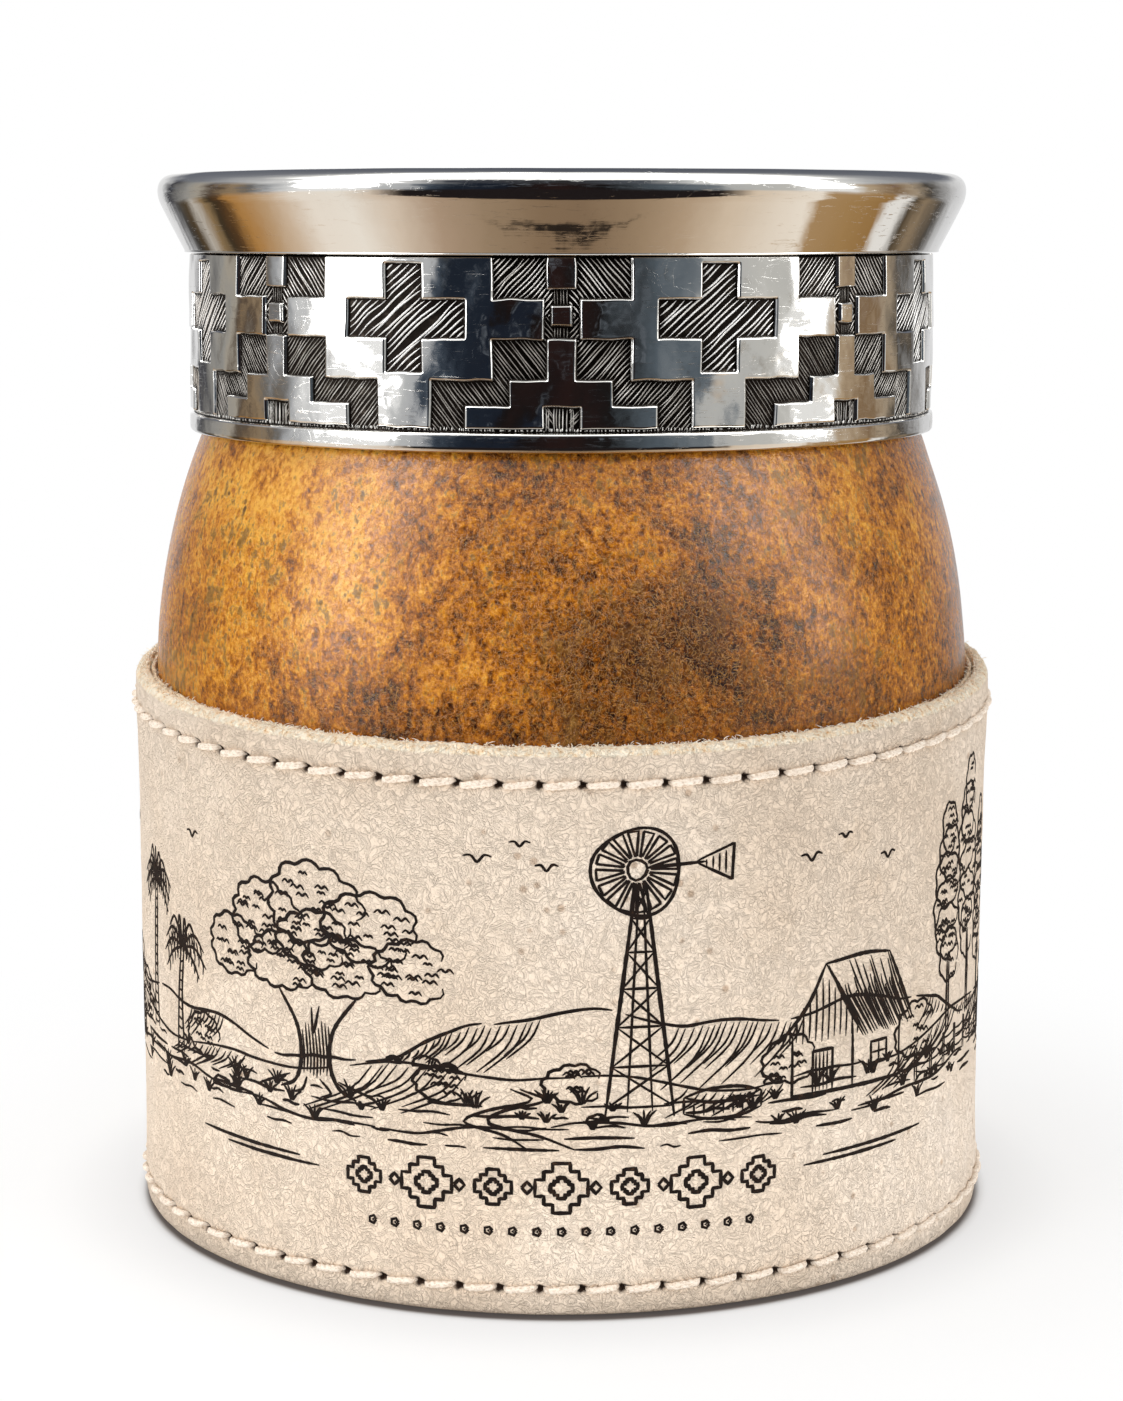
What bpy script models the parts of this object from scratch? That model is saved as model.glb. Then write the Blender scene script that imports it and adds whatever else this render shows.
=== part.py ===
"""A leather-covered gourd cup for mate, as eleven separate pieces.

A hollow calabash carries a silvery ferrule at its mouth: a flared collar with a rolled lip, a
funnel-shaped liner and a chiselled band with a stepped pattern. Its lower half sits in a sewn
leather sleeve with a leather base. Metres, +Z up. The origin is on the table under the cup's
axis, and the front looks towards -Y. Angles round the axis start at the front and grow towards +X.
"""

import math

import bmesh
import bpy

MM = 0.001

# Clearance between two pieces that seat on each other, and the facets of a turned piece.
FIT = 0.2 * MM
ROUND = 48
SLEEVE_ROUND = 72

# Calabash: outer radii, heights above the table and wall.
BELLY_R = 46.1 * MM
BELLY_Z = 60.0 * MM
SHOULDER_R = 40.4 * MM
NECK_DRAWN_IN = 3.0 * MM
NECK_WALL = 5.0 * MM
FOOT_R = 15.0 * MM
GOURD_WALL = 5.0 * MM
NECK_BELOW_BAND_TOP = 2.2 * MM
LINED_BORE_DEPTH = 14.0 * MM
SHOULDER_CURVE = 2.1
NECK_CURVE = 2.4
NECK_STEPS = 3
BOWL_CURVE = 2.6

# Leather base, seat pad, sleeve and lining.
BASE_FLOOR = 2.2 * MM
BASE_FLANGE_WALL = 1.6 * MM
BASE_FLANGE_H = 9.0 * MM
BASE_EDGE_R = 1.0 * MM
PAD_THICK = 3.2 * MM
PAD_R = 34.0 * MM
LINING_THICK = 0.5 * MM
SLEEVE_THICK = 1.4 * MM
SLEEVE_SWELL = 0.2 * MM
SLEEVE_SWELL_H = 9.0 * MM
SLEEVE_BOTTOM_Z = 0.4 * MM
SLEEVE_TOP_Z = 61.9 * MM
SLEEVE_LEAN = 2.5 * MM
SLEEVE_BOTTOM_EDGE_R = 1.3 * MM
SLEEVE_TOP_EDGE_R = 0.9 * MM
SLEEVE_SEAM_GAP = 0.5 * MM

# Sewn rows: one thread a row, down in the leather at each hole.
STITCHES = 72
THREAD_R = 0.36 * MM
THREAD_DIP = 0.4 * MM
THREAD_PROUD = 0.38 * MM
STITCH_SLANT = 0.16 * MM
HOLE_SPAN = 1.5 * MM
GROOVE_WIDTH = 1.3 * MM
TOP_ROW_INSET = 3.7 * MM
BOTTOM_ROW_INSET = 2.9 * MM

# Chiselled band. Row heights run from the top; half widths are in columns of the pattern.
BAND_BOTTOM_Z = 88.1 * MM
BAND_BORDER_H = 2.1 * MM
BAND_SHEET = 0.7 * MM
BAND_CURL = 0.5 * MM
RELIEF = 0.45 * MM
TALL_ROW_H = 4.13 * MM
BAR_ROW_H = 3.92 * MM
STEP_ROW_H = 2.56 * MM
PATTERN_ROWS = (TALL_ROW_H, BAR_ROW_H, TALL_ROW_H, STEP_ROW_H, STEP_ROW_H)
PATTERN_REPEATS = 8
PATTERN_COLUMNS = 7
PATTERN_FOOT_GAP = 0.35 * MM
CROSS_TOP_STRIP = 0.55 * MM
SQUARE_TOP_GAP = 0.65 * MM
SQUARE_H = 1.95 * MM
STUB_SHARE = 0.74
CROSS_FOOT_SHARE = 0.83
WIDE_STEPS = (2.0, 3.1, 2.0)
STEM_HALF = 0.62
CROSS_ARM_HALF = 0.43
CROSS_BAR_HALF = 1.4
STUB_HALF = 0.3
SQUARE_HALF = 0.22
PYRAMID_STEPS = (0.3, 1.1, 2.1)
NOTCH_HALF = 0.4

# Flared collar with its rolled lip, and the liner inside the mouth.
COLLAR_SHEET = 0.8 * MM
COLLAR_OVERHANG = 0.3 * MM
LIP_ROLL_R = 2.0 * MM
LIP_OUTSIDE_BAND = 1.35 * MM
LIP_ABOVE_BAND = 6.75 * MM
LINER_SHEET = 0.7 * MM
LINER_DEPTH = 13.3 * MM
LINER_TOP_ANGLE = math.radians(215)
FUNNEL_ABOVE_NECK = 0.4 * MM

# Resin bedding between the band and the calabash.
BEDDING_START_SHARE = 0.45
BEDDING_TOP_INSET = 4.2 * MM
BEDDING_LEDGE = 2.8 * MM

# Sizes that follow from those above.
BAND_TOP_Z = BAND_BOTTOM_Z + BAND_BORDER_H + sum(PATTERN_ROWS)
BAND_IN_R = SHOULDER_R + FIT
BAND_LOW_R = BAND_IN_R + BAND_SHEET
BAND_HIGH_R = BAND_LOW_R + RELIEF
GOURD_TOP_Z = BAND_TOP_Z - NECK_BELOW_BAND_TOP
NECK_R = SHOULDER_R - NECK_DRAWN_IN
MOUTH_BORE_R = NECK_R - NECK_WALL
PAD_Z = BASE_FLOOR + FIT
GOURD_FOOT_Z = PAD_Z + PAD_THICK + FIT
LINING_IN_R = BELLY_R + FIT
SLEEVE_IN_R = LINING_IN_R + LINING_THICK + FIT
SLEEVE_OUT_R = SLEEVE_IN_R + SLEEVE_THICK
SLEEVE_EDGE_OUT_R = SLEEVE_OUT_R + SLEEVE_SWELL
BASE_R = SLEEVE_IN_R - FIT
TOP_ROW_Z = SLEEVE_TOP_Z - TOP_ROW_INSET
BOTTOM_ROW_Z = SLEEVE_BOTTOM_Z + BOTTOM_ROW_INSET
THREAD_HIGH_R = SLEEVE_EDGE_OUT_R + THREAD_PROUD - THREAD_R
THREAD_LOW_R = THREAD_HIGH_R - THREAD_DIP
GROOVE_FLOOR_R = THREAD_LOW_R - THREAD_R - FIT
LIP_CENTRE_R = BAND_HIGH_R + LIP_OUTSIDE_BAND
LIP_CENTRE_Z = BAND_TOP_Z + LIP_ABOVE_BAND
COLLAR_FOOT_Z = BAND_TOP_Z + FIT
COLLAR_FOOT_R = BAND_HIGH_R + COLLAR_OVERHANG
LINER_OUT_R = MOUTH_BORE_R - FIT
LINER_IN_R = LINER_OUT_R - LINER_SHEET


def clear_scene():
    for obj in list(bpy.data.objects):
        bpy.data.objects.remove(obj)


def material(name, colour, roughness, metallic=0.0):
    made = bpy.data.materials.new(name)
    made.use_nodes = True
    shader = made.node_tree.nodes["Principled BSDF"]
    shader.inputs["Base Color"].default_value = (*colour, 1.0)
    shader.inputs["Roughness"].default_value = roughness
    shader.inputs["Metallic"].default_value = metallic
    return made


def at(radius, angle, height):
    """The point at this radius, angle from the front and height."""
    return (radius * math.sin(angle), -radius * math.cos(angle), height)


def arc(centre, radius, start, end, steps):
    """Points (r, z) along an arc about centre, both ends included, angles in radians."""
    turn = (end - start) / steps
    return [
        (
            centre[0] + radius * math.cos(start + turn * step),
            centre[1] + radius * math.sin(start + turn * step),
        )
        for step in range(steps + 1)
    ]


def finish_mesh(name, bm, look):
    bmesh.ops.recalc_face_normals(bm, faces=bm.faces)
    mesh = bpy.data.meshes.new(name)
    bm.to_mesh(mesh)
    bm.free()
    mesh.shade_smooth()
    mesh.set_sharp_from_angle(angle=math.radians(35))
    mesh.materials.append(look)
    obj = bpy.data.objects.new(name, mesh)
    bpy.context.scene.collection.objects.link(obj)
    return obj


def turned(name, outline, look, segments=ROUND, lean=0.0, slit=0.0):
    """A closed outline of (r, z) or (r, z, share) turned about Z.

    A point with r = 0 lies on the axis. The share says how much of the lean a point follows:
    the lean lowers the front and lifts the back. A slit leaves a gap of that width at the back.
    """
    bm = bmesh.new()
    half_slit = math.asin(0.5 * slit / max(point[0] for point in outline))
    start = -math.pi + half_slit
    sweep = 2 * (math.pi - half_slit)
    stations = segments + 1 if slit else segments
    angles = [start + sweep * step / segments for step in range(stations)]
    rings = []
    for point in outline:
        radius, height = point[:2]
        share = point[2] if len(point) > 2 else 0.0
        if radius == 0:
            rings.append([bm.verts.new((0, 0, height))] * stations)
            continue
        rings.append(
            [bm.verts.new(at(radius, a, height - share * lean * math.cos(a))) for a in angles]
        )
    pairs = list(zip(rings, rings[1:] + rings[:1]))
    for low, high in pairs:
        for step in range(segments):
            after = (step + 1) % stations
            corners = []
            for vert in (low[step], low[after], high[after], high[step]):
                if vert not in corners:
                    corners.append(vert)
            if len(corners) > 2:
                bm.faces.new(corners)
    if slit:
        bm.faces.new([ring[0] for ring in rings])
        bm.faces.new([ring[-1] for ring in rings])
    return finish_mesh(name, bm, look)


def bowl_radius(height, foot_z, belly_r, foot_r):
    """Radius of the calabash below its belly: a superellipse from the belly down to the foot."""
    fall = (BELLY_Z - height) / (BELLY_Z - foot_z)
    return foot_r + (belly_r - foot_r) * math.sqrt(max(0.0, 1 - fall**BOWL_CURVE))


def shoulder_radius(height, belly_r, shoulder_r):
    rise = (height - BELLY_Z) / (BAND_BOTTOM_Z - BELLY_Z)
    return belly_r - (belly_r - shoulder_r) * rise**SHOULDER_CURVE


def neck_outline():
    """Points (r, z) up the outside of the neck, from the band's lower edge to the cut mouth."""
    points = []
    for step in range(NECK_STEPS + 1):
        rise = step / NECK_STEPS
        radius = NECK_R + (SHOULDER_R - NECK_R) * (1 - rise) ** NECK_CURVE
        points.append((radius, BAND_BOTTOM_Z + (GOURD_TOP_Z - BAND_BOTTOM_Z) * rise))
    return points


def gourd_shell(look):
    """The calabash: round bowl, shoulder and neck outside, and a cavity open at the mouth."""
    bowl_steps = 7
    shoulder_steps = 5
    outside = [(0.0, GOURD_FOOT_Z)]
    for step in range(bowl_steps):
        part = math.cos(0.5 * math.pi * step / bowl_steps)
        height = BELLY_Z - (BELLY_Z - GOURD_FOOT_Z) * part
        outside.append((bowl_radius(height, GOURD_FOOT_Z, BELLY_R, FOOT_R), height))
    for step in range(shoulder_steps):
        height = BELLY_Z + (BAND_BOTTOM_Z - BELLY_Z) * step / shoulder_steps
        outside.append((shoulder_radius(height, BELLY_R, SHOULDER_R), height))
    outside += neck_outline()

    cavity_steps = 4
    cavity_bowl_steps = 5
    bore_bottom_z = GOURD_TOP_Z - LINED_BORE_DEPTH
    cavity_foot_z = GOURD_FOOT_Z + GOURD_WALL
    cavity_r = BELLY_R - GOURD_WALL
    inside = [(MOUTH_BORE_R, GOURD_TOP_Z), (MOUTH_BORE_R, bore_bottom_z)]
    for step in range(1, cavity_steps):
        height = bore_bottom_z + (BELLY_Z - bore_bottom_z) * step / cavity_steps
        rise = (height - BELLY_Z) / (bore_bottom_z - BELLY_Z)
        inside.append((cavity_r - (cavity_r - MOUTH_BORE_R) * rise**SHOULDER_CURVE, height))
    for step in range(cavity_bowl_steps, -1, -1):
        part = math.cos(0.5 * math.pi * step / cavity_bowl_steps)
        height = BELLY_Z - (BELLY_Z - cavity_foot_z) * part
        inside.append((bowl_radius(height, cavity_foot_z, cavity_r, FOOT_R), height))
    inside.append((0.0, cavity_foot_z))
    return turned("gourd_shell", outside + inside, look)


def leather_base(look):
    """The leather disc under the cup, turned up into a flange that the sleeve is sewn to."""
    edge = arc((BASE_R - BASE_EDGE_R, BASE_EDGE_R), BASE_EDGE_R, -0.5 * math.pi, 0.0, 3)
    flange_in_r = BASE_R - BASE_FLANGE_WALL
    outline = [(0.0, 0.0), *edge, (BASE_R, BASE_FLANGE_H), (flange_in_r, BASE_FLANGE_H)]
    outline += [(flange_in_r, BASE_FLOOR), (0.0, BASE_FLOOR)]
    return turned("leather_base", outline, look)


def seat_pad(look):
    top_z = PAD_Z + PAD_THICK
    outline = [(0.0, PAD_Z), (PAD_R, PAD_Z), (PAD_R, top_z), (0.0, top_z)]
    return turned("seat_pad", outline, look)


def stitch_groove(row_z, share):
    """The groove of one sewn row, up the outside of the sleeve."""
    low_z = row_z - 0.5 * GROOVE_WIDTH
    high_z = row_z + 0.5 * GROOVE_WIDTH
    return [
        (SLEEVE_EDGE_OUT_R, low_z, share),
        (GROOVE_FLOOR_R, low_z, share),
        (GROOVE_FLOOR_R, high_z, share),
        (SLEEVE_EDGE_OUT_R, high_z, share),
    ]


def leather_sleeve(look):
    """The outer leather, wrapped round and butted at the back, with rounded edges."""
    bottom_round = SLEEVE_BOTTOM_EDGE_R
    bottom_centre = (SLEEVE_EDGE_OUT_R - bottom_round, SLEEVE_BOTTOM_Z + bottom_round)
    bottom_edge = arc(bottom_centre, bottom_round, -0.5 * math.pi, 0.0, 2)
    top_round = SLEEVE_TOP_EDGE_R
    top_centre = (SLEEVE_EDGE_OUT_R - top_round, SLEEVE_TOP_Z - top_round)
    top_edge = arc(top_centre, top_round, 0.0, 0.5 * math.pi, 2)
    outline = [(SLEEVE_IN_R, SLEEVE_BOTTOM_Z), *bottom_edge, *stitch_groove(BOTTOM_ROW_Z, 0.0)]
    outline.append((SLEEVE_OUT_R, BOTTOM_ROW_Z + SLEEVE_SWELL_H))
    outline.append((SLEEVE_OUT_R, TOP_ROW_Z - SLEEVE_SWELL_H, 0.5))
    outline += stitch_groove(TOP_ROW_Z, 1.0)
    outline += [(radius, height, 1.0) for radius, height in top_edge]
    outline.append((SLEEVE_IN_R, SLEEVE_TOP_Z, 1.0))
    return turned(
        "leather_sleeve",
        outline,
        look,
        segments=SLEEVE_ROUND,
        lean=SLEEVE_LEAN,
        slit=SLEEVE_SEAM_GAP,
    )


def sleeve_lining(look):
    """The thin lining glued inside the sleeve, from the base's flange up to the top edge."""
    out_r = LINING_IN_R + LINING_THICK
    low_z = BASE_FLANGE_H + FIT
    outline = [(LINING_IN_R, low_z), (out_r, low_z)]
    outline += [(out_r, SLEEVE_TOP_Z, 1.0), (LINING_IN_R, SLEEVE_TOP_Z, 1.0)]
    return turned("sleeve_lining", outline, look, segments=SLEEVE_ROUND, lean=SLEEVE_LEAN)


def sewn_row(name, row_z, lean, look):
    """One unbroken thread round the sleeve: flat on each stitch, down at each hole."""
    pitch = 2 * math.pi / STITCHES
    half_hole = 0.5 * HOLE_SPAN / THREAD_HIGH_R
    stops = (
        (0.0, THREAD_LOW_R, 0.0),
        (half_hole, THREAD_HIGH_R, -0.5 * STITCH_SLANT),
        (pitch - half_hole, THREAD_HIGH_R, 0.5 * STITCH_SLANT),
    )
    points = []
    for stitch in range(STITCHES):
        for step, radius, rise in stops:
            angle = (stitch - 0.5) * pitch + step
            points.append(at(radius, angle, row_z + rise - lean * math.cos(angle)))
    curve = bpy.data.curves.new(name, "CURVE")
    curve.dimensions = "3D"
    curve.twist_mode = "Z_UP"
    curve.bevel_depth = THREAD_R
    curve.bevel_resolution = 0
    curve.fill_mode = "FULL"
    spline = curve.splines.new("POLY")
    spline.points.add(len(points) - 1)
    for target, point in zip(spline.points, points):
        target.co = (*point, 1.0)
    spline.use_cyclic_u = True
    curve.materials.append(look)
    obj = bpy.data.objects.new(name, curve)
    bpy.context.scene.collection.objects.link(obj)
    return obj


def pattern_boxes():
    """The stepped pattern as boxes (centre, half width, depth from, depth to, raised).

    Centres and half widths are in columns; a later box overrides an earlier one.
    """
    tops = [sum(PATTERN_ROWS[:row]) for row in range(len(PATTERN_ROWS) + 1)]
    foot = tops[-1] - PATTERN_FOOT_GAP
    between = 0.5 * PATTERN_COLUMNS
    boxes = []
    for row, half in enumerate(WIDE_STEPS):
        boxes.append((0.0, half, tops[row], tops[row + 1], True))
    boxes.append((0.0, STEM_HALF, tops[3], foot, True))
    cross_foot = tops[2] + CROSS_FOOT_SHARE * PATTERN_ROWS[2]
    boxes.append((0.0, CROSS_ARM_HALF, CROSS_TOP_STRIP, cross_foot, False))
    boxes.append((0.0, CROSS_BAR_HALF, tops[1], tops[2], False))
    boxes.append((between, STUB_HALF, 0.0, STUB_SHARE * PATTERN_ROWS[0], True))
    square_top = tops[1] + SQUARE_TOP_GAP
    boxes.append((between, SQUARE_HALF, square_top, square_top + SQUARE_H, True))
    for row, half in enumerate(PYRAMID_STEPS, start=2):
        boxes.append((between, half, tops[row], min(tops[row + 1], foot), True))
    boxes.append((between, NOTCH_HALF, tops[4], foot, False))
    return boxes


def pattern_raised(column, depth, boxes):
    raised = False
    for centre, half, top, bottom, state in boxes:
        offset = (column - centre + 0.5 * PATTERN_COLUMNS) % PATTERN_COLUMNS
        if abs(offset - 0.5 * PATTERN_COLUMNS) < half and top < depth < bottom:
            raised = state
    return raised


def chiselled_band(look):
    """The outer ring of the ferrule: a raised stepped pattern over a plain border with a curled edge."""
    boxes = pattern_boxes()
    sides = {
        round((centre + sign * half) % PATTERN_COLUMNS, 6)
        for centre, half, *_ in boxes
        for sign in (-1, 1)
    }
    column_turn = 2 * math.pi / (PATTERN_REPEATS * PATTERN_COLUMNS)
    first_cross = 0.5 * PATTERN_COLUMNS * column_turn
    columns = [
        repeat * PATTERN_COLUMNS + side for repeat in range(PATTERN_REPEATS) for side in sorted(sides)
    ]
    angles = [first_cross + column * column_turn for column in columns]
    depths = sorted({round(edge, 9) for box in boxes for edge in box[2:4]} | {sum(PATTERN_ROWS)})
    count = len(columns)
    turn_columns = PATTERN_REPEATS * PATTERN_COLUMNS

    def cell_radius(step, row):
        after = columns[step + 1] if step + 1 < count else columns[0] + turn_columns
        middle = 0.5 * (columns[step] + after)
        depth = 0.5 * (depths[row] + depths[row + 1])
        return BAND_HIGH_R if pattern_raised(middle % PATTERN_COLUMNS, depth, boxes) else BAND_LOW_R

    bm = bmesh.new()
    made = {}

    def vert(step, height, radius):
        key = (step % count, round(height, 9), round(radius, 9))
        if key not in made:
            made[key] = bm.verts.new(at(radius, angles[step % count], height))
        return made[key]

    def strip(step, low, high):
        """The face of one column between two points (r, z)."""
        corners = [vert(step, low[1], low[0]), vert(step + 1, low[1], low[0])]
        corners += [vert(step + 1, high[1], high[0]), vert(step, high[1], high[0])]
        bm.faces.new(corners)

    pattern_bottom_z = BAND_BOTTOM_Z + BAND_BORDER_H
    border = [
        (BAND_IN_R, BAND_BOTTOM_Z),
        (BAND_HIGH_R - BAND_CURL, BAND_BOTTOM_Z),
        (BAND_HIGH_R, BAND_BOTTOM_Z + BAND_CURL),
        (BAND_HIGH_R, pattern_bottom_z),
        (BAND_LOW_R, pattern_bottom_z),
    ]
    rows = range(len(depths) - 1)
    for step in range(count):
        for low, high in zip(border, border[1:]):
            strip(step, low, high)
        for row in reversed(rows):
            here = cell_radius(step, row)
            high_z = BAND_TOP_Z - depths[row]
            low_z = BAND_TOP_Z - depths[row + 1]
            strip(step, (here, low_z), (here, high_z))
            above = cell_radius(step, row - 1) if row else BAND_LOW_R
            if above != here:
                strip(step, (here, high_z), (above, high_z))
            before = cell_radius((step - 1) % count, row)
            if before != here:
                bm.faces.new(
                    (
                        vert(step, low_z, before),
                        vert(step, low_z, here),
                        vert(step, high_z, here),
                        vert(step, high_z, before),
                    )
                )
        strip(step, (BAND_LOW_R, BAND_TOP_Z), (BAND_IN_R, BAND_TOP_Z))
        strip(step, (BAND_IN_R, BAND_TOP_Z), (BAND_IN_R, BAND_BOTTOM_Z))
    return finish_mesh("chiselled_band", bm, look)


def rim_collar(look):
    """The flared collar over the band, drawn up into a rolled lip."""
    foot = (COLLAR_FOOT_R, COLLAR_FOOT_Z)
    centre = (LIP_CENTRE_R, LIP_CENTRE_Z)
    reach = math.dist(foot, centre)
    lean_in = math.atan2(centre[0] - foot[0], centre[1] - foot[1])
    flare = lean_in + math.asin(LIP_ROLL_R / reach)
    wrap = math.acos((LIP_ROLL_R - COLLAR_SHEET) / LIP_ROLL_R)
    roll = arc(centre, LIP_ROLL_R, -flare, 2 * math.pi - flare - wrap, 11)
    inner_foot = (COLLAR_FOOT_R - COLLAR_SHEET / math.cos(flare), COLLAR_FOOT_Z)
    return turned("rim_collar", [inner_foot, foot, *roll], look)


def mouth_liner(look):
    """The metal funnel from the lip down into the bore of the calabash."""
    gap = LIP_ROLL_R + FIT
    top = (
        LIP_CENTRE_R + gap * math.cos(LINER_TOP_ANGLE),
        LIP_CENTRE_Z + gap * math.sin(LINER_TOP_ANGLE),
    )
    bend = (LINER_OUT_R, GOURD_TOP_Z + FUNNEL_ABOVE_NECK)
    slope = math.atan2(top[1] - bend[1], top[0] - bend[0])
    face_top = (top[0] - LINER_SHEET * math.sin(slope), top[1] + LINER_SHEET * math.cos(slope))
    face_bend_z = face_top[1] - (face_top[0] - LINER_IN_R) * math.tan(slope)
    bottom_z = GOURD_TOP_Z - LINER_DEPTH
    outline = [(LINER_IN_R, bottom_z), (LINER_OUT_R, bottom_z), bend, top, face_top]
    outline.append((LINER_IN_R, face_bend_z))
    return turned("mouth_liner", outline, look)


def ferrule_bedding(look):
    """The resin that fills the space between the band and the neck, and caps the cut edge."""
    out_r = BAND_IN_R - FIT
    top_z = BAND_TOP_Z
    ledge_z = GOURD_TOP_Z + FIT
    outline = [(out_r, top_z), (out_r - BEDDING_TOP_INSET, top_z)]
    outline += [(NECK_R - BEDDING_LEDGE, ledge_z), (NECK_R + FIT, ledge_z)]
    neck = neck_outline()
    start = [low + BEDDING_START_SHARE * (high - low) for low, high in zip(neck[0], neck[1])]
    outline += [(radius + FIT, height) for radius, height in reversed([start, *neck[1:]])]
    outline.append((out_r, start[1]))
    return turned("ferrule_bedding", outline, look)


def build():
    clear_scene()
    calabash = material("calabash", (0.42, 0.19, 0.05), 0.38)
    alpaca = material("alpaca", (0.72, 0.71, 0.69), 0.16, metallic=1.0)
    resin = material("resin", (0.16, 0.12, 0.09), 0.5)
    leather = material("leather", (0.72, 0.62, 0.50), 0.75)
    felt = material("felt", (0.35, 0.30, 0.25), 0.95)
    thread = material("thread", (0.84, 0.79, 0.70), 0.7)
    leather_base(leather)
    seat_pad(felt)
    gourd_shell(calabash)
    sleeve_lining(leather)
    leather_sleeve(leather)
    sewn_row("bottom_stitching", BOTTOM_ROW_Z, 0.0, thread)
    sewn_row("top_stitching", TOP_ROW_Z, SLEEVE_LEAN, thread)
    ferrule_bedding(resin)
    chiselled_band(alpaca)
    mouth_liner(alpaca)
    rim_collar(alpaca)


build()
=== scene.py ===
# %% [markdown]
# # A leather-covered mate cup
# The cup is a varnished calabash with a flared metal collar, a chiselled metal band and a sewn
# leather sleeve. Everything here is in metres, but a cup maker thinks in millimetres, so the
# sizes below are in millimetres and the last step of each mesh turns them into metres.

# %% The fixed frame
import math
import random

import bpy
import numpy as np
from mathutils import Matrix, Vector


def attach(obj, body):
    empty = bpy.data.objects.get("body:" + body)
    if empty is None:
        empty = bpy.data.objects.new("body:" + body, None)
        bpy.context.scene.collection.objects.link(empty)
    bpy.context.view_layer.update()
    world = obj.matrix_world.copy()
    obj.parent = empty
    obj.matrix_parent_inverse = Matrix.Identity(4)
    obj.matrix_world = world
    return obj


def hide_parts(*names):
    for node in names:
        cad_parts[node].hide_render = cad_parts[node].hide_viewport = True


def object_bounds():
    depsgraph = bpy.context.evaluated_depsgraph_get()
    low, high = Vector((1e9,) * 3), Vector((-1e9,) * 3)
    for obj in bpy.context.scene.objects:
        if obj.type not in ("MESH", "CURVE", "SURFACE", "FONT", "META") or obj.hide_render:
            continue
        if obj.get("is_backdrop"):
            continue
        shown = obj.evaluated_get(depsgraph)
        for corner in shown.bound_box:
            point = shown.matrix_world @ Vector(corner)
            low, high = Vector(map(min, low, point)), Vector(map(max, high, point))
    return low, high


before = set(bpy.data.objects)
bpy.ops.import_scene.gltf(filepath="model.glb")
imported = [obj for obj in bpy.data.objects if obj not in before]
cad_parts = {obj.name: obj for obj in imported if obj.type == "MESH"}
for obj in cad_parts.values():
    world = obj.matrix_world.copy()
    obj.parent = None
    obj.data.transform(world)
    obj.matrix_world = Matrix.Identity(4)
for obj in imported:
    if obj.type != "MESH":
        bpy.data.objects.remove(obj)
CAD_BOX = [list(corner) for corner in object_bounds()]
MM = 0.001
TURN = 2 * math.pi
print("solids:", len(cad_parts), "box:", [[round(v / MM, 2) for v in c] for c in CAD_BOX])

# %% [markdown]
# ## The camera
# The photograph was taken from a little above the middle of the cup with a long lens. The focal
# length, the distance and the tilt were found by fitting the round edges of the rim, the band and
# the sleeve to the photograph, so the render and the photograph can be laid over each other.


# %% The camera at the photograph's place
def add_object(name, data):
    """A new object in the scene, at the origin."""
    made = bpy.data.objects.new(name, data)
    bpy.context.scene.collection.objects.link(made)
    return made


LENS = 76.175
SENSOR = 36.0
CAMERA_AWAY = 338.0
CAMERA_UP = 110.9
CAMERA_DOWN_TILT = 9.153
camera_data = bpy.data.cameras.new("camera")
camera_data.lens = LENS
camera_data.sensor_width = SENSOR
camera_data.clip_start = 0.01
camera = add_object("camera", camera_data)
camera.location = (0.0, -CAMERA_AWAY * MM, CAMERA_UP * MM)
camera.rotation_euler = (math.radians(90.0 - CAMERA_DOWN_TILT), 0.0, 0.0)
bpy.context.scene.camera = camera
bpy.context.scene.view_settings.view_transform = "Standard"
print("camera", tuple(round(v, 4) for v in camera.location))

# %% [markdown]
# ## A short way to write materials
# A node material is a sum written with wires. To keep it readable, a wire is wrapped in a small
# class whose operators add Math nodes, so a mask can be written as `1 - mask * 0.5`. Every other
# node comes from one method, which takes the node's type, its settings and its inputs.


# %% Wires and boards
def srgb(red, green, blue):
    """A colour read off a screen, from 0 to 255, as the linear numbers that Blender uses."""
    return tuple(((v / 255 + 0.055) / 1.055) ** 2.4 if v > 10 else v / 255 / 12.92
                 for v in (red, green, blue))


class Wire:
    """An output socket that can be added to, multiplied and so on like a number."""

    def __init__(self, board, socket):
        self.board = board
        self.socket = socket

    def other(self, title):
        """Another output of the same node."""
        return Wire(self.board, self.socket.node.outputs[title])


def operator(kind, swapped):
    """A method of Wire that adds one Math node."""
    def method(wire, number):
        pair = (number, wire) if swapped else (wire, number)
        return wire.board.math(kind, *pair)
    return method


SIGNS = {"add": "ADD", "sub": "SUBTRACT", "mul": "MULTIPLY", "truediv": "DIVIDE", "pow": "POWER"}
for sign, kind in SIGNS.items():
    setattr(Wire, f"__{sign}__", operator(kind, False))
    setattr(Wire, f"__r{sign}__", operator(kind, True))


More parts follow.
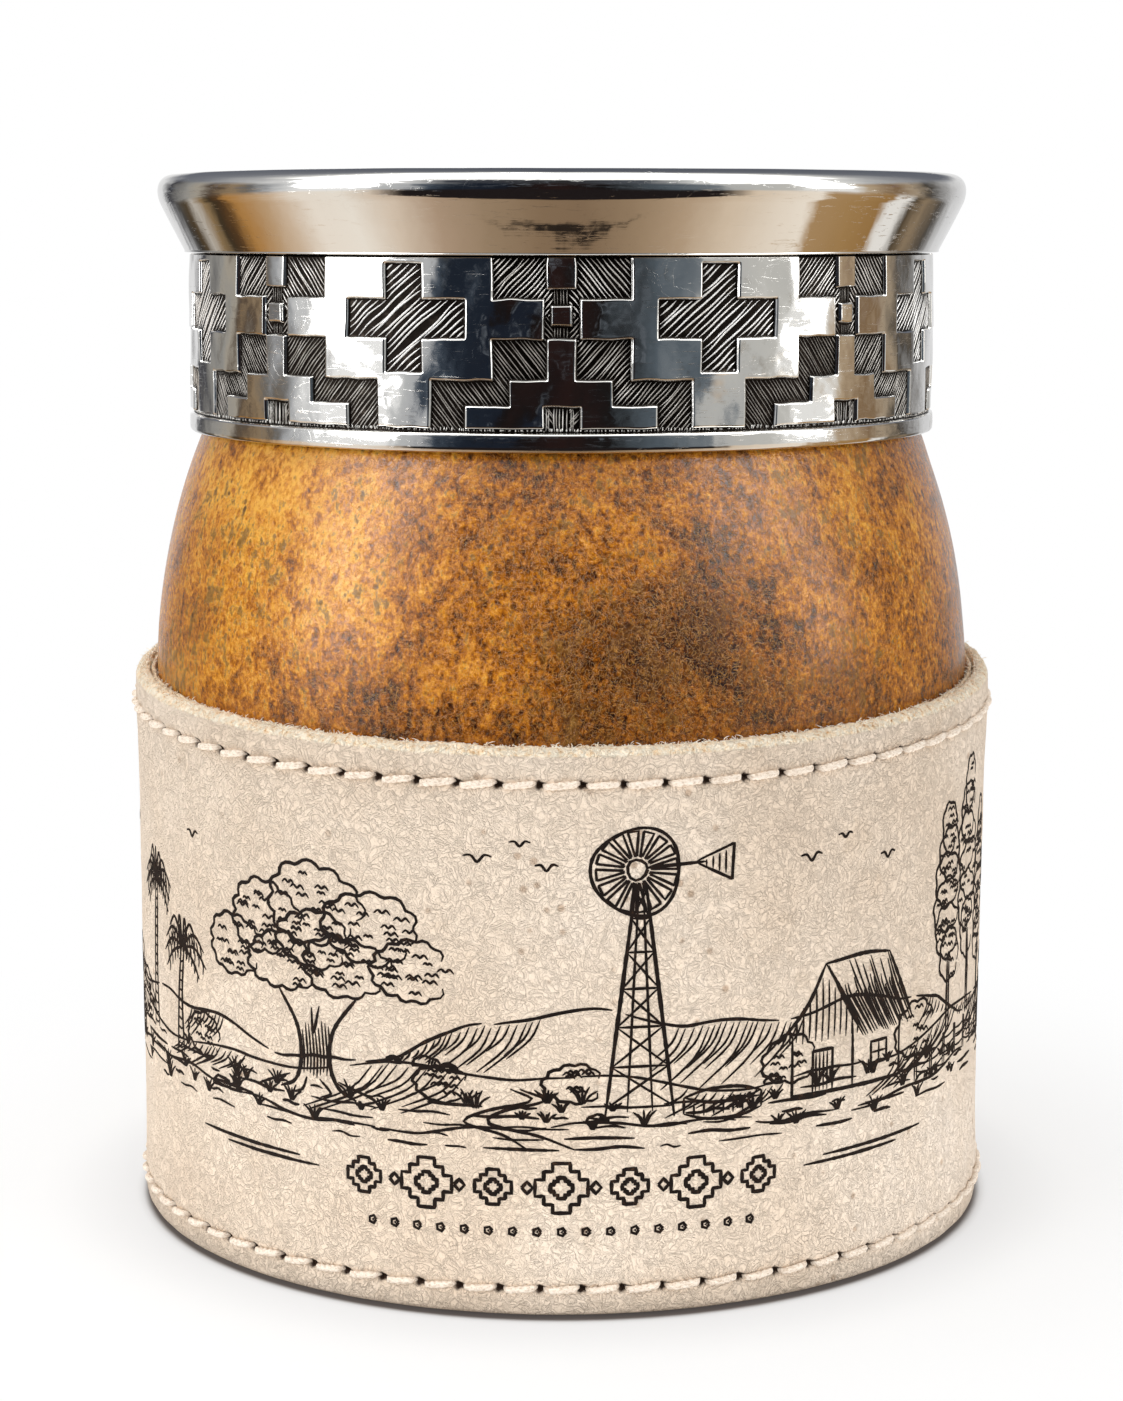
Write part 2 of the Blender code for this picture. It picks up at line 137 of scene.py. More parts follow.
class Board:
    """A node tree under construction: a material, or the world."""

    def __init__(self, owner):
        owner.use_nodes = True
        self.tree = owner.node_tree
        self.tree.nodes.clear()
        self.owner = owner

    def feed(self, socket, value):
        if isinstance(value, Wire):
            self.tree.links.new(value.socket, socket)
        elif isinstance(value, tuple) and len(value) == 3 and socket.type == "RGBA":
            socket.default_value = (*value, 1.0)
        else:
            socket.default_value = value

    def node(self, kind, settings=None, values=None, output=0):
        made = self.tree.nodes.new(kind)
        for key, value in (settings or {}).items():
            setattr(made, key, value)
        for key, value in (values or {}).items():
            self.feed(made.inputs[key], value)
        return Wire(self, made.outputs[output]) if made.outputs else None

    def math(self, kind, *values):
        return self.node("ShaderNodeMath", {"operation": kind}, dict(enumerate(values)))

    def kept(self, name):
        """The number that a mesh keeps on its points under this name."""
        return self.node("ShaderNodeAttribute", {"attribute_name": name}, output=2)

    def ramp(self, value, stops):
        made = self.node("ShaderNodeValToRGB", None, {"Fac": value})
        elements = made.socket.node.color_ramp.elements
        for end in (0, -1):
            elements[end].position = stops[end][0]
            elements[end].color = (*stops[end][1], 1.0)
        for place, colour in stops[1:-1]:
            elements.new(place).color = (*colour, 1.0)
        return made

    def tones(self, value, *stops):
        """A ramp whose stops are (place, red, green, blue) as read off a screen."""
        return self.ramp(value, [(place, srgb(*colour)) for place, *colour in stops])

    def blend(self, share, first, second, kind="MIX"):
        """Mix two colours, as 'MIX', 'LIGHTEN' and so on."""
        settings = {"data_type": "RGBA", "blend_type": kind}
        return self.node("ShaderNodeMix", settings, {0: share, 6: first, 7: second}, output=2)

    def fade(self, value, low, high, start=0.0, end=1.0):
        """A smooth step of a value from start to end while it goes from low to high."""
        settings = {"interpolation_type": "SMOOTHSTEP"}
        return self.node("ShaderNodeMapRange", settings, {0: value, 1: low, 2: high, 3: start, 4: end})

    def places(self, turn=(0.0, 0.0, 0.0), scale=(1.0, 1.0, 1.0)):
        """Object coordinates, turned and scaled."""
        where = self.node("ShaderNodeTexCoord", output=3)
        return self.node("ShaderNodeMapping", None, {0: where, 2: turn, 3: scale})

    def cloud(self, where, scale, detail=2.0, rough=0.5, bend=0.0):
        values = {"Vector": where, "Scale": scale, "Detail": detail, "Roughness": rough}
        return self.node("ShaderNodeTexNoise", None, {**values, "Distortion": bend})

    def cells(self, where, scale):
        return self.node("ShaderNodeTexVoronoi", None, {"Vector": where, "Scale": scale})

    def line(self, cloud, width):
        """1 on a cloud's middle contour, which runs in thin curls, and 0 away from it."""
        return 1 - self.fade(self.math("ABSOLUTE", cloud - 0.5), 0.0, width)

    def bump(self, height, strength, distance, under=None):
        """Turn a height into a surface normal; distance is in metres."""
        values = {"Strength": strength, "Distance": distance, "Height": height}
        if under is not None:
            values["Normal"] = under
        return self.node("ShaderNodeBump", None, values)

    def mix_shaders(self, share, first, second):
        return self.node("ShaderNodeMixShader", None, {0: share, 1: first, 2: second})

    def surface(self, **values):
        """A Principled shader on the output; underscores stand for the spaces of socket names."""
        named = {key.replace("_", " "): value for key, value in values.items()}
        shader = self.node("ShaderNodeBsdfPrincipled", None, named)
        self.node("ShaderNodeOutputMaterial", None, {"Surface": shader})
        return self.owner


def new_look(name):
    return Board(bpy.data.materials.new(name))


def one_cloud_look(name, cloud, stops, roughness, bump, scale=(1.0, 1.0, 1.0), **values):
    """A matt look whose colour, roughness and bump all come from one fine cloud."""
    board = new_look(name)
    fine = board.cloud(board.places(scale=scale), *cloud)
    return board.surface(
        Base_Color=board.tones(fine, *stops), Roughness=board.fade(fine, 0.3, 0.7, *roughness),
        Normal=board.bump(fine, *bump), **values,
    )


print("wires and boards ready")

# %% [markdown]
# ## The studio
# Metal has no colour of its own: it shows the room. A photographer lights a mirror-polished cup
# with white softboxes beside dark cards, and stands in the dark behind the camera. Here the world
# is that room. Camera rays see plain white, light that reaches matt surfaces is an even grey, and
# only mirror rays see the softboxes and cards, placed by their direction from the cup.

# %% The world as a photographer's room
WHITE = (1.0, 1.0, 1.0)
ROOM_LEVEL = 0.58
SOFTBOX_BOOST = 6.0
world = bpy.data.worlds.new("studio")
bpy.context.scene.world = world
room = Board(world)
ray = room.node("ShaderNodeTexCoord")
ray_x = room.node("ShaderNodeSeparateXYZ", None, {0: ray})
ray_y, ray_z = ray_x.other(1), ray_x.other(2)
wobble = room.cloud(ray, 2.2, 3.0, 0.55) - 0.5
turn = room.math("ARCTAN2", ray_x, -1.0 * ray_y) / TURN + 0.5
turn = turn + wobble * 0.05 + (room.cloud(ray, 7.0, 1.0, 0.5) - 0.5) * 0.024


def around(*stops):
    """Ramp stops from pairs of (degrees from the front, colour); one number stands for a grey."""
    return [((degrees + 180.0) / 360.0, (colour * 3)[:3]) for degrees, *colour in stops]


EYE_LEVEL = around(
    (-180, 0.88), (-153, 0.80, 0.80, 0.81), (-145, 0.05, 0.05, 0.06), (-130, 0.34, 0.33, 0.31),
    (-121, 0.42, 0.38, 0.32), (-112, 0.10, 0.07, 0.05), (-103, 0.32, 0.23, 0.14),
    (-95, 0.16, 0.15, 0.14), (-87, 0.42, 0.43, 0.45), (-74, 1.0), (-53, 1.0), (-50, 0.60, 0.61, 0.62),
    (-41, 0.48, 0.49, 0.51), (-37, 0.07, 0.09, 0.12), (-30, 0.014, 0.020, 0.032),
    (-17, 0.012, 0.016, 0.026), (-13, 0.010, 0.008, 0.008), (0, 0.022, 0.011, 0.010),
    (13, 0.010, 0.009, 0.009), (18, 0.05, 0.06, 0.07), (31, 0.10, 0.125, 0.15), (41, 0.19, 0.215, 0.24),
    (46, 0.52, 0.52, 0.51), (66, 0.62, 0.61, 0.58), (71, 0.95, 0.945, 0.93), (85, 0.95, 0.945, 0.93),
    (93, 0.52, 0.40, 0.27), (104, 0.24, 0.15, 0.08), (114, 0.44, 0.35, 0.25), (124, 0.07, 0.06, 0.05),
    (147, 0.70, 0.70, 0.71), (180, 0.88),
)
OVERHEAD = around(
    (-180, 0.10, 0.11, 0.14), (-130, 0.22, 0.23, 0.26), (-100, 0.55, 0.55, 0.56), (-75, 1.0), (-44, 1.0),
    (-28, 0.05, 0.055, 0.07), (0, 0.030, 0.028, 0.030), (26, 0.09, 0.10, 0.12), (44, 0.95, 0.95, 0.94),
    (80, 0.95, 0.95, 0.94), (104, 0.50, 0.50, 0.51), (132, 0.18, 0.19, 0.22), (180, 0.10, 0.11, 0.14),
)
above = room.fade(ray_z + wobble * 0.22, 0.16, 0.34)
mirrored = room.blend(above, room.ramp(turn, EYE_LEVEL), room.ramp(turn, OVERHEAD))
drift = room.fade(room.cloud(ray, 9.0, 4.0, 0.65, 1.5), 0.52, 0.68)
mirrored = room.blend(drift * 0.55, mirrored, (0.17, 0.19, 0.22), "LIGHTEN")
over_front = room.fade(ray_z, 0.50, 0.60) * room.fade(ray_y, 0.05, 0.30, 1.0, 0.0)
mirrored = room.blend(over_front, mirrored, (0.88, 0.88, 0.87), "LIGHTEN")
to_camera = room.node("ShaderNodeLightPath")
is_glossy = to_camera.other("Is Glossy Ray")
straight_through = to_camera + to_camera.other("Is Transmission Ray")
plain = room.blend(straight_through, (ROOM_LEVEL, ROOM_LEVEL, ROOM_LEVEL), WHITE)
seen = room.blend(is_glossy, plain, mirrored)
lit = room.fade(room.node("ShaderNodeRGBToBW", None, {0: mirrored}), 0.84, 1.0)
strength = 1.0 + lit * is_glossy * SOFTBOX_BOOST
glow = room.node("ShaderNodeBackground", None, {"Color": seen, "Strength": strength})
room.node("ShaderNodeOutputWorld", None, {"Surface": glow})
print("world nodes:", len(room.tree.nodes))

# %% [markdown]
# ## The soft lamps
# Two big soft lamps stand to the left and right, a little above the cup, and a third hangs over
# it. They give the leather and the thread their soft shade. They don't shine in mirror rays: there
# the world's softboxes stand for them.

# %% Lamps
LAMPS = (
    ("left_softbox", (-440.0, -400.0, 240.0), 340.0, 1.02),
    ("right_softbox", (460.0, -330.0, 220.0), 340.0, 0.55),
    ("top_softbox", (-70.0, -40.0, 620.0), 420.0, 1.7),
)
CUP_MIDDLE = (0.0, 0.0, 55.0)
for lamp_name, place, size, power in LAMPS:
    lamp_data = bpy.data.lights.new(lamp_name, "AREA")
    lamp_data.shape = "DISK"
    lamp_data.size = size * MM
    lamp_data.energy = power
    lamp = add_object(lamp_name, lamp_data)
    lamp.location = [v * MM for v in place]
    aim = np.subtract(CUP_MIDDLE, place)
    tilt = math.acos(-aim[2] / np.linalg.norm(aim))
    lamp.rotation_euler = (tilt, 0.0, math.pi + math.atan2(aim[0], -aim[1]))
    lamp.visible_glossy = False
    print(lamp_name, "at", place)

# %% [markdown]
# ## The floor
# The floor is plain white paper that keeps the cup's soft shadow. The flared collar leans out, so
# it mirrors only the table in front of the cup: mirror rays see a warm, pale tan table there, as
# the photograph's collar does.

# %% A white floor that mirrors as a warm table
FLOOR_R = 3000.0
SQUARE = ((-1, -1), (1, -1), (1, 1), (-1, 1))
floor_mesh = bpy.data.meshes.new("floor")
corners = [(side_x * FLOOR_R * MM, side_y * FLOOR_R * MM, 0.0) for side_x, side_y in SQUARE]
floor_mesh.from_pydata(corners, [], [(0, 1, 2, 3)])
floor = add_object("floor", floor_mesh)
paper = new_look("floor_paper")
where = paper.places()
spot_x = paper.node("ShaderNodeSeparateXYZ", None, {0: where})
spot_y = spot_x.other(1)
away = paper.node("ShaderNodeVectorMath", {"operation": "LENGTH"}, {0: where}, output=1)
turn = paper.math("ARCTAN2", spot_x, -1.0 * spot_y)
grain = paper.cloud(where, 14.0, 4.0, 0.6)
TABLE = around(
    (-180, 0.80), (-150, 0.78, 0.78, 0.79), (-141, 0.05, 0.045, 0.04), (-134, 0.09, 0.06, 0.03),
    (-128, 0.55, 0.50, 0.44), (-121, 0.30, 0.20, 0.10), (-115, 0.05, 0.035, 0.02),
    (-110, 0.10, 0.05, 0.02), (-105, 0.48, 0.24, 0.07), (-93, 0.58, 0.38, 0.21), (-84, 0.74, 0.57, 0.42),
    (-75, 0.98, 0.88, 0.77), (-62, 1.0, 0.92, 0.82), (-49, 0.80, 0.66, 0.53), (-36, 0.50, 0.36, 0.25),
    (-22, 0.37, 0.26, 0.165), (-6, 0.28, 0.185, 0.11), (8, 0.265, 0.175, 0.105),
    (22, 0.38, 0.265, 0.165), (36, 0.53, 0.385, 0.255), (50, 0.78, 0.63, 0.48), (74, 1.0, 0.90, 0.78),
    (77, 0.46, 0.29, 0.14), (90, 0.42, 0.25, 0.10), (103, 0.36, 0.20, 0.07), (106, 0.92, 0.89, 0.85),
    (112, 0.92, 0.89, 0.85), (116, 0.07, 0.05, 0.03), (124, 0.30, 0.22, 0.14), (136, 0.08, 0.07, 0.06),
    (150, 0.76, 0.76, 0.77), (180, 0.80),
)
table = paper.ramp(turn / TURN + 0.5 + (grain - 0.5) * 0.03, TABLE)
ragged = (paper.cloud(where, 70.0, 3.0, 0.6) - 0.5) * 0.012
streak_y = paper.math("ABSOLUTE", spot_y + 0.1206 + ragged * 0.8)
streak_x = paper.math("ABSOLUTE", spot_x - 0.002)
streak = paper.fade(streak_y + streak_x * 0.06, 0.0018, 0.0038, 1.0, 0.0)
table = paper.blend(streak * 0.95, table, (0.012, 0.009, 0.008))
lens = paper.fade(away - 0.150 - turn * turn * 0.19 + ragged, 0.0, 0.02)
lens = lens * paper.fade(turn * turn, 0.50, 0.85, 1.0, 0.0)
table = paper.blend(lens, table, (0.016, 0.012, 0.012))
far_room = paper.ramp(turn / TURN + 0.5 + (grain - 0.5) * 0.05, EYE_LEVEL)
table = paper.blend(paper.fade(away, 0.40, 0.70), table, far_room)
# Painted shadow: right at the cup's foot the floor's own colour is darkened into a contact shadow, on top
# of the real shadow that the floor's diffuse part keeps.
painted_contact_shadow = paper.blend(paper.fade(away, 0.0482, 0.0492), (0.16, 0.12, 0.10), (0.72, 0.72, 0.73))
painted_contact_shadow = paper.blend(paper.fade(away, 0.049, 0.062), painted_contact_shadow, (0.93, 0.93, 0.93))
shade = paper.node("ShaderNodeBsdfDiffuse", None, {"Color": painted_contact_shadow})
shade_share = paper.fade(away, 0.0482, 0.0500, 0.95, 0.42) * paper.fade(away, 0.050, 0.125, 1.0, 0.0)
# The floor glows as a bounce lamp for light that reaches the cup, strongest near it; right at the foot this
# glow is darkened, painted shade where the cup meets the floor.
bounce = paper.blend(paper.fade(away, 0.06, 0.26), WHITE, (0.42, 0.42, 0.42))
bounce = paper.blend(paper.fade(away, 0.048, 0.056), (0.10, 0.09, 0.08), bounce)
flat_white, lit_floor, mirror_floor = (
    paper.node("ShaderNodeEmission", None, {"Color": colour, "Strength": strength})
    for colour, strength in ((WHITE, 1.0), (bounce, 1.85), (table, 1.0))
)
path = paper.node("ShaderNodeLightPath")
unseen_floor = paper.mix_shaders(path.other("Is Glossy Ray"), lit_floor, mirror_floor)
seen_floor = paper.mix_shaders(shade_share, flat_white, shade)
whole = paper.mix_shaders(path, unseen_floor, seen_floor)
paper.node("ShaderNodeOutputMaterial", None, {"Surface": whole})
floor_mesh.materials.append(paper.owner)
floor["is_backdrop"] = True
print("floor ready")

# %% [markdown]
# ## Helpers for round things
# Nearly every part of this cup is turned or wrapped, so its points are easiest to give by radius,
# angle from the front and height. A grid of such points is joined into a skin of four-sided faces,
# closed round the cup, and a skin whose first or last ring has no radius is closed by a fan.


# %% Skins from grids of points
def on_cup(radius, angle, height):
    """Points in millimetres at these radii, angles from the front (radians) and heights."""
    radius, angle, height = np.broadcast_arrays(radius, angle, height)
    return np.stack([radius * np.sin(angle), -radius * np.cos(angle), height], axis=-1)


def full_turn(columns):
    return np.arange(columns) * TURN / columns


def spread(line, columns):
    """The radii, the angles and the heights of a line (r, z) turned round the axis."""
    line = np.array(line)
    return line[:, :1], full_turn(columns), line[:, 1:]


def skin_faces(rows, columns, wrap_rows=False, wrap_columns=True, start=0):
    row = np.arange(rows if wrap_rows else rows - 1)
    column = np.arange(columns if wrap_columns else columns - 1)
    low, left = np.meshgrid(row, column, indexing="ij")
    high = (low + 1) % rows
    right = (left + 1) % columns
    quads = (low * columns + left, low * columns + right, high * columns + right, high * columns + left)
    return start + np.stack([corner.ravel() for corner in quads], axis=1)


def new_mesh(name, points, edges=(), faces=(), **attributes):
    """A mesh from points in millimetres; attributes hold one number for each point."""
    mesh = bpy.data.meshes.new(name)
    faces = [list(map(int, face)) for face in faces]
    mesh.from_pydata((np.asarray(points).reshape(-1, 3) * MM).tolist(), edges, faces)
    for key, values in attributes.items():
        layer = mesh.attributes.new(key, "FLOAT", "POINT")
        layer.data.foreach_set("value", np.asarray(values, dtype=np.float32).ravel())
    mesh.update()
    return mesh


def settle(piece, node):
    """The piece rides on the cup's one body and stands for this node of the CAD."""
    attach(piece, "root")
    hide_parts(node)
    print(piece.name, len(piece.data.vertices), "points", len(piece.data.polygons), "faces")


def mesh_piece(name, node, points, faces, look, smooth=True, **attributes):
    mesh = new_mesh(name, points, (), faces, **attributes)
    mesh.polygons.foreach_set("use_smooth", [smooth] * len(mesh.polygons))
    mesh.materials.append(look)
    settle(add_object(name, mesh), node)


def round_piece(name, node, grid, look, closed=True, **attributes):
    """A skin from a grid (rings, columns, 3), closed over its ring order or by fans on the axis."""
    rings, columns = grid.shape[:2]
    points = grid.reshape(-1, 3)
    faces = list(skin_faces(rings, columns, wrap_rows=closed))
    if not closed:
        for ring, flip in ((0, True), (rings - 1, False)):
            centre = len(points)
            points = np.vstack([points, grid[ring].mean(axis=0)])
            for column in range(columns):
                pair = (ring * columns + column, ring * columns + (column + 1) % columns)
                faces.append((centre, *(reversed(pair) if flip else pair)))
    mesh_piece(name, node, points, faces, look, **attributes)


def ripple(angle, height, seed, size, waves=6, turns=(2, 9), length=30.0):
    """A smooth wobble that closes round the cup: a few sines of whole turns."""
    chance = random.Random(seed)
    total = 0.0
    for _ in range(waves):
        count = chance.randint(*turns) * chance.choice((-1, 1))
        rise = chance.uniform(-1.0, 1.0) * TURN / length
        total = total + np.sin(count * angle + rise * height + chance.uniform(0, TURN))
    return size * total / math.sqrt(waves)


def smooth_line(points, steps):
    """A smooth line through points, by Catmull and Rom's rule, with steps to each span."""
    points = np.array(points, dtype=float)
    ends = np.vstack([2 * points[0] - points[1], points, 2 * points[-1] - points[-2]])
    line = []
    for a, b, c, d in zip(ends, ends[1:], ends[2:], ends[3:]):
        for step in range(steps):
            t = step / steps
            line.append(0.5 * (2 * b + (c - a) * t + (2 * a - 5 * b + 4 * c - d) * t**2
                               + (3 * b - a - 3 * c + d) * t**3))
    return np.array(line + [points[-1]])


def arc(centre, radius, start, end, steps):
    """Points (r, z) along an arc, angles in degrees."""
    angle = np.radians(np.linspace(start, end, steps + 1))
    return np.stack([centre[0] + radius * np.cos(angle), centre[1] + radius * np.sin(angle)], axis=1)


def smoothstep(value, low, high):
    share = np.clip((value - low) / (high - low), 0.0, 1.0)
    return share * share * (3 - 2 * share)


print("helpers ready")

# %% [markdown]
# ## Nickel silver
# The collar, the band and the funnel are alpaca, a nickel silver that takes a mirror polish. One
# recipe serves all three: almost no roughness where a thumb has polished it, a little haze where it
# hasn't, and hair-fine scratches. Only the tint and the haze change from part to part.


# %% The polished metal
def polished(board, where, tint, rough, haze, dimple):
    """Base colour, roughness and normal of hand-polished alpaca; dimple is in metres."""
    smear = board.fade(board.cloud(where, 60.0, 4.0, 0.62), 0.46, 0.74)
    drawn = board.places(scale=(1.0, 1.0, 11.0))
    hairs = board.fade(board.cloud(drawn, 200.0, 4.0, 0.7, 1.6), 0.60, 0.70)
    hairs = hairs + board.line(board.cloud(where, 170.0, 2.0, 0.5, 3.0), 0.006) * smear
    colour = board.blend(smear * 0.5, tint, tuple(v * 0.90 for v in tint))
    roughness = rough + smear * haze + hairs * 0.12
    dimples = board.bump(board.cloud(where, 300.0, 2.0, 0.5), 0.9, dimple)
    return colour, roughness, board.bump(hairs, 0.3, 0.000014, under=dimples)


ALPACA = srgb(229, 228, 225)
SATIN = srgb(222, 220, 214)
shiny = new_look("polished_alpaca")
colour, roughness, normal = polished(shiny, shiny.places(), ALPACA, 0.03, 0.04, 0.00002)
spun_rings = shiny.cloud(shiny.places(scale=(1.0, 1.0, 60.0)), 40.0, 3.0, 0.6)
normal = shiny.bump(spun_rings, 0.3, 0.000008, under=normal)
collar_look = shiny.surface(Base_Color=colour, Roughness=roughness, Metallic=1.0, Normal=normal)
satin = new_look("satin_alpaca")
colour, roughness, normal = polished(satin, satin.places(), SATIN, 0.22, 0.12, 0.00003)
funnel_look = satin.surface(Base_Color=colour, Roughness=roughness, Metallic=1.0, Normal=normal)
print("metal looks ready")

# %% [markdown]
# ## The flared collar
# The collar is a spun sheet that leans out and is rolled over into a lip. Its outline was measured
# on the photograph's edge, so it is given as points and smoothed, and then turned round the axis.
# Hand-finished metal is never a perfect mirror shape: a ripple of a few hundredths of a millimetre
# is enough to make the reflections run in the wavy streaks of real silver work.

# %% The collar's outline and its skin
COLLAR_OUTSIDE = (
    (42.12, 107.72), (42.25, 107.80), (42.22, 107.93), (42.32, 108.14), (43.02, 109.5),
    (43.635, 110.7), (44.186, 111.8), (44.555, 112.55), (44.86, 113.2), (45.03, 113.85),
    (45.09, 114.45), (44.98, 115.1), (44.68, 115.62), (44.2, 116.0), (43.6, 116.2), (42.95, 116.22),
    (42.3, 116.02), (41.75, 115.6), (41.38, 115.0), (41.26, 114.3),
)
COLLAR_INSIDE = (
    (41.45, 113.7), (41.9, 113.3), (42.5, 113.1), (42.9, 112.7), (42.85, 111.9), (41.3, 107.72),
)
ring_r, angles, ring_z = spread(smooth_line(COLLAR_OUTSIDE + COLLAR_INSIDE, 4), 384)
hand_work = ripple(angles, ring_z, 11, 0.016, waves=9, turns=(7, 34), length=9.0)
hand_work = hand_work + ripple(angles, ring_z, 12, 0.035, waves=4, turns=(2, 5), length=40.0)
collar_grid = on_cup(ring_r + hand_work, angles, ring_z + 0.5 * hand_work)
round_piece("flared_collar", "rim_collar", collar_grid, collar_look)

# %% [markdown]
# ## The funnel in the mouth
# The photograph doesn't show the inside of the mouth. On cups of this kind the collar's sheet goes
# on as a shallow funnel and a short sleeve that lines the neck, so that no water gets behind it.

# %% The funnel and its sleeve
FUNNEL_BACK = (
    (32.2, 92.1), (32.2, 98.0), (32.2, 104.2), (32.6, 105.9), (34.6, 107.6), (38.0, 110.3), (41.5, 113.2),
)
FUNNEL_FACE = (
    (41.2, 113.72), (37.6, 110.85), (34.1, 108.1), (31.95, 106.2), (31.5, 104.4), (31.5, 98.0),
    (31.5, 92.1),
)
funnel_line = np.vstack([smooth_line(FUNNEL_BACK, 5), smooth_line(FUNNEL_FACE, 5)])
ring_r, angles, ring_z = spread(funnel_line, 256)
soft = ripple(angles, ring_z, 21, 0.02, turns=(3, 16), length=14.0)
round_piece("mouth_funnel", "mouth_liner", on_cup(ring_r + soft, angles, ring_z), funnel_look)

# %% [markdown]
# ## The stepped pattern
# The band carries an old woven-belt pattern of the plains, cut as raised steps over a blackened
# ground. It is drawn on squared paper: seven columns to a repeat, eight repeats round the cup. A
# list of boxes, raised or cut away, holds the whole design, in the same sizes as the solid's.

# %% The pattern on squared paper
BAND_TOP = 107.5
BAND_FOOT = 88.1
BAND_HIGH_R = 41.75
BAND_LOW_R = 41.3
REPEATS = 8
COLUMNS = 7
STEP_HEIGHTS = (4.13, 3.92, 4.13, 2.56, 2.56)
COLUMN_WIDTH = TURN * BAND_HIGH_R / (REPEATS * COLUMNS)
REPEAT_WIDTH = COLUMNS * COLUMN_WIDTH
STEPS = [sum(STEP_HEIGHTS[:count]) for count in range(6)]
PATTERN_DEPTH = STEPS[-1]
PATTERN_FOOT = PATTERN_DEPTH - 0.35
MIDWAY = 0.5 * COLUMNS
# middle column, half width in columns, top and bottom below the band's top, raised or cut
PATTERN = [
    (0.0, 2.0, STEPS[0], STEPS[1], True), (0.0, 3.1, STEPS[1], STEPS[2], True),
    (0.0, 2.0, STEPS[2], STEPS[3], True), (0.0, 0.62, STEPS[3], PATTERN_FOOT, True),
    (0.0, 0.43, 0.55, STEPS[2] + 0.83 * STEP_HEIGHTS[2], False), (0.0, 1.4, STEPS[1], STEPS[2], False),
    (MIDWAY, 0.3, 0.0, 0.74 * STEP_HEIGHTS[0], True),
    (MIDWAY, 0.22, STEPS[1] + 0.65, STEPS[1] + 2.6, True),
    (MIDWAY, 0.3, STEPS[2], STEPS[3], True), (MIDWAY, 1.1, STEPS[3], STEPS[4], True),
    (MIDWAY, 2.1, STEPS[4], PATTERN_FOOT, True), (MIDWAY, 0.4, STEPS[4], PATTERN_FOOT, False),
]


def is_raised(column, depth):
    """Whether the pattern stands up here; column in columns, depth in mm below the band's top."""
    raised = np.zeros(np.broadcast(column, depth).shape, dtype=bool)
    for centre, half, top, bottom, state in PATTERN:
        offset = np.abs((column - centre + MIDWAY) % COLUMNS - MIDWAY)
        raised = np.where((offset < half) & (depth > top) & (depth < bottom), state, raised)
    return raised


cut_columns = sorted({round((c + s * h) % COLUMNS, 5) for c, h, *_ in PATTERN for s in (-1, 1)})
cut_depths = sorted({round(edge, 5) for box in PATTERN for edge in box[2:4]} | {round(PATTERN_DEPTH, 5)})
print("pattern lines:", len(cut_columns), "upright,", len(cut_depths), "level")

# %% [markdown]
# To round the edges of the relief, every point of the band must know how far it is from the nearest
# edge of the pattern. The edges are short straight lines between cells of different height, so the
# distance is worked out once on fine squared paper, and looked up afterwards.

# %% Distance from the nearest edge of the pattern
PAPER = 0.05
PAPER_TOP = -0.5


def pattern_edges():
    """Edge lines (x0, d0, x1, d1) in mm between a raised cell and a cut one."""
    sides = [*cut_columns, cut_columns[0] + COLUMNS]
    middles = [0.5 * (a + b) for a, b in zip(sides, sides[1:])]
    levels = [-1.0, *[d for d in cut_depths if d > 0], PATTERN_DEPTH + 1.0]
    centres = [0.5 * (max(a, 0.0) + b) for a, b in zip(levels, levels[1:])]
    raised = is_raised(np.array(middles)[:, None], np.array(centres)[None, :])
    raised[:, -1] = False
    edges = []
    for i, (x0, x1) in enumerate(zip(sides, sides[1:])):
        x0, x1 = x0 * COLUMN_WIDTH, x1 * COLUMN_WIDTH
        for j in range(len(centres)):
            if raised[i, j] != raised[i - 1, j]:
                edges.append((x0, levels[j], x0, levels[j + 1]))
            if j and raised[i, j] != raised[i, j - 1]:
                edges.append((x0, levels[j], x1, levels[j]))
    return edges


edges = pattern_edges()
paper_x = np.arange(0.0, REPEAT_WIDTH, PAPER)
paper_d = np.arange(PAPER_TOP, PATTERN_DEPTH + 0.6, PAPER)
grid_x, grid_d = np.meshgrid(paper_x, paper_d, indexing="ij")
nearest = np.full(grid_x.shape, 1e9)
for x0, d0, x1, d1 in edges:
    for shift in (-REPEAT_WIDTH, 0.0, REPEAT_WIDTH):
        gap_x = grid_x - np.clip(grid_x, x0 + shift, x1 + shift)
        gap_d = grid_d - np.clip(grid_d, d0, d1)
        nearest = np.minimum(nearest, np.hypot(gap_x, gap_d))
inside = is_raised(grid_x / COLUMN_WIDTH, np.clip(grid_d, 0.001, None)) & (grid_d < PATTERN_FOOT)
EDGE_DISTANCE = np.where(inside, nearest, -nearest)


def edge_distance(x, depth):
    """How far inside a raised part this place is, in mm; negative over the cut ground."""
    i = np.round((x % REPEAT_WIDTH) / PAPER).astype(int) % len(paper_x)
    j = np.clip(np.round((depth - PAPER_TOP) / PAPER).astype(int), 0, len(paper_d) - 1)
    return EDGE_DISTANCE[i, j]


print("edge lines:", len(edges), "paper squares:", EDGE_DISTANCE.size)

# %% [markdown]
# ## The chiselled band
# The band's skin has extra lines beside every edge of the pattern, where the relief rounds over,
# and few in between. The chaser worked by eye, so the skin is then pushed about by a smooth ripple:
# the edges wander, the flats are dented, and the mirror on them breaks up as in the photograph. A
# number kept on each point says how deep it is cut, and the material blackens the ground by it.

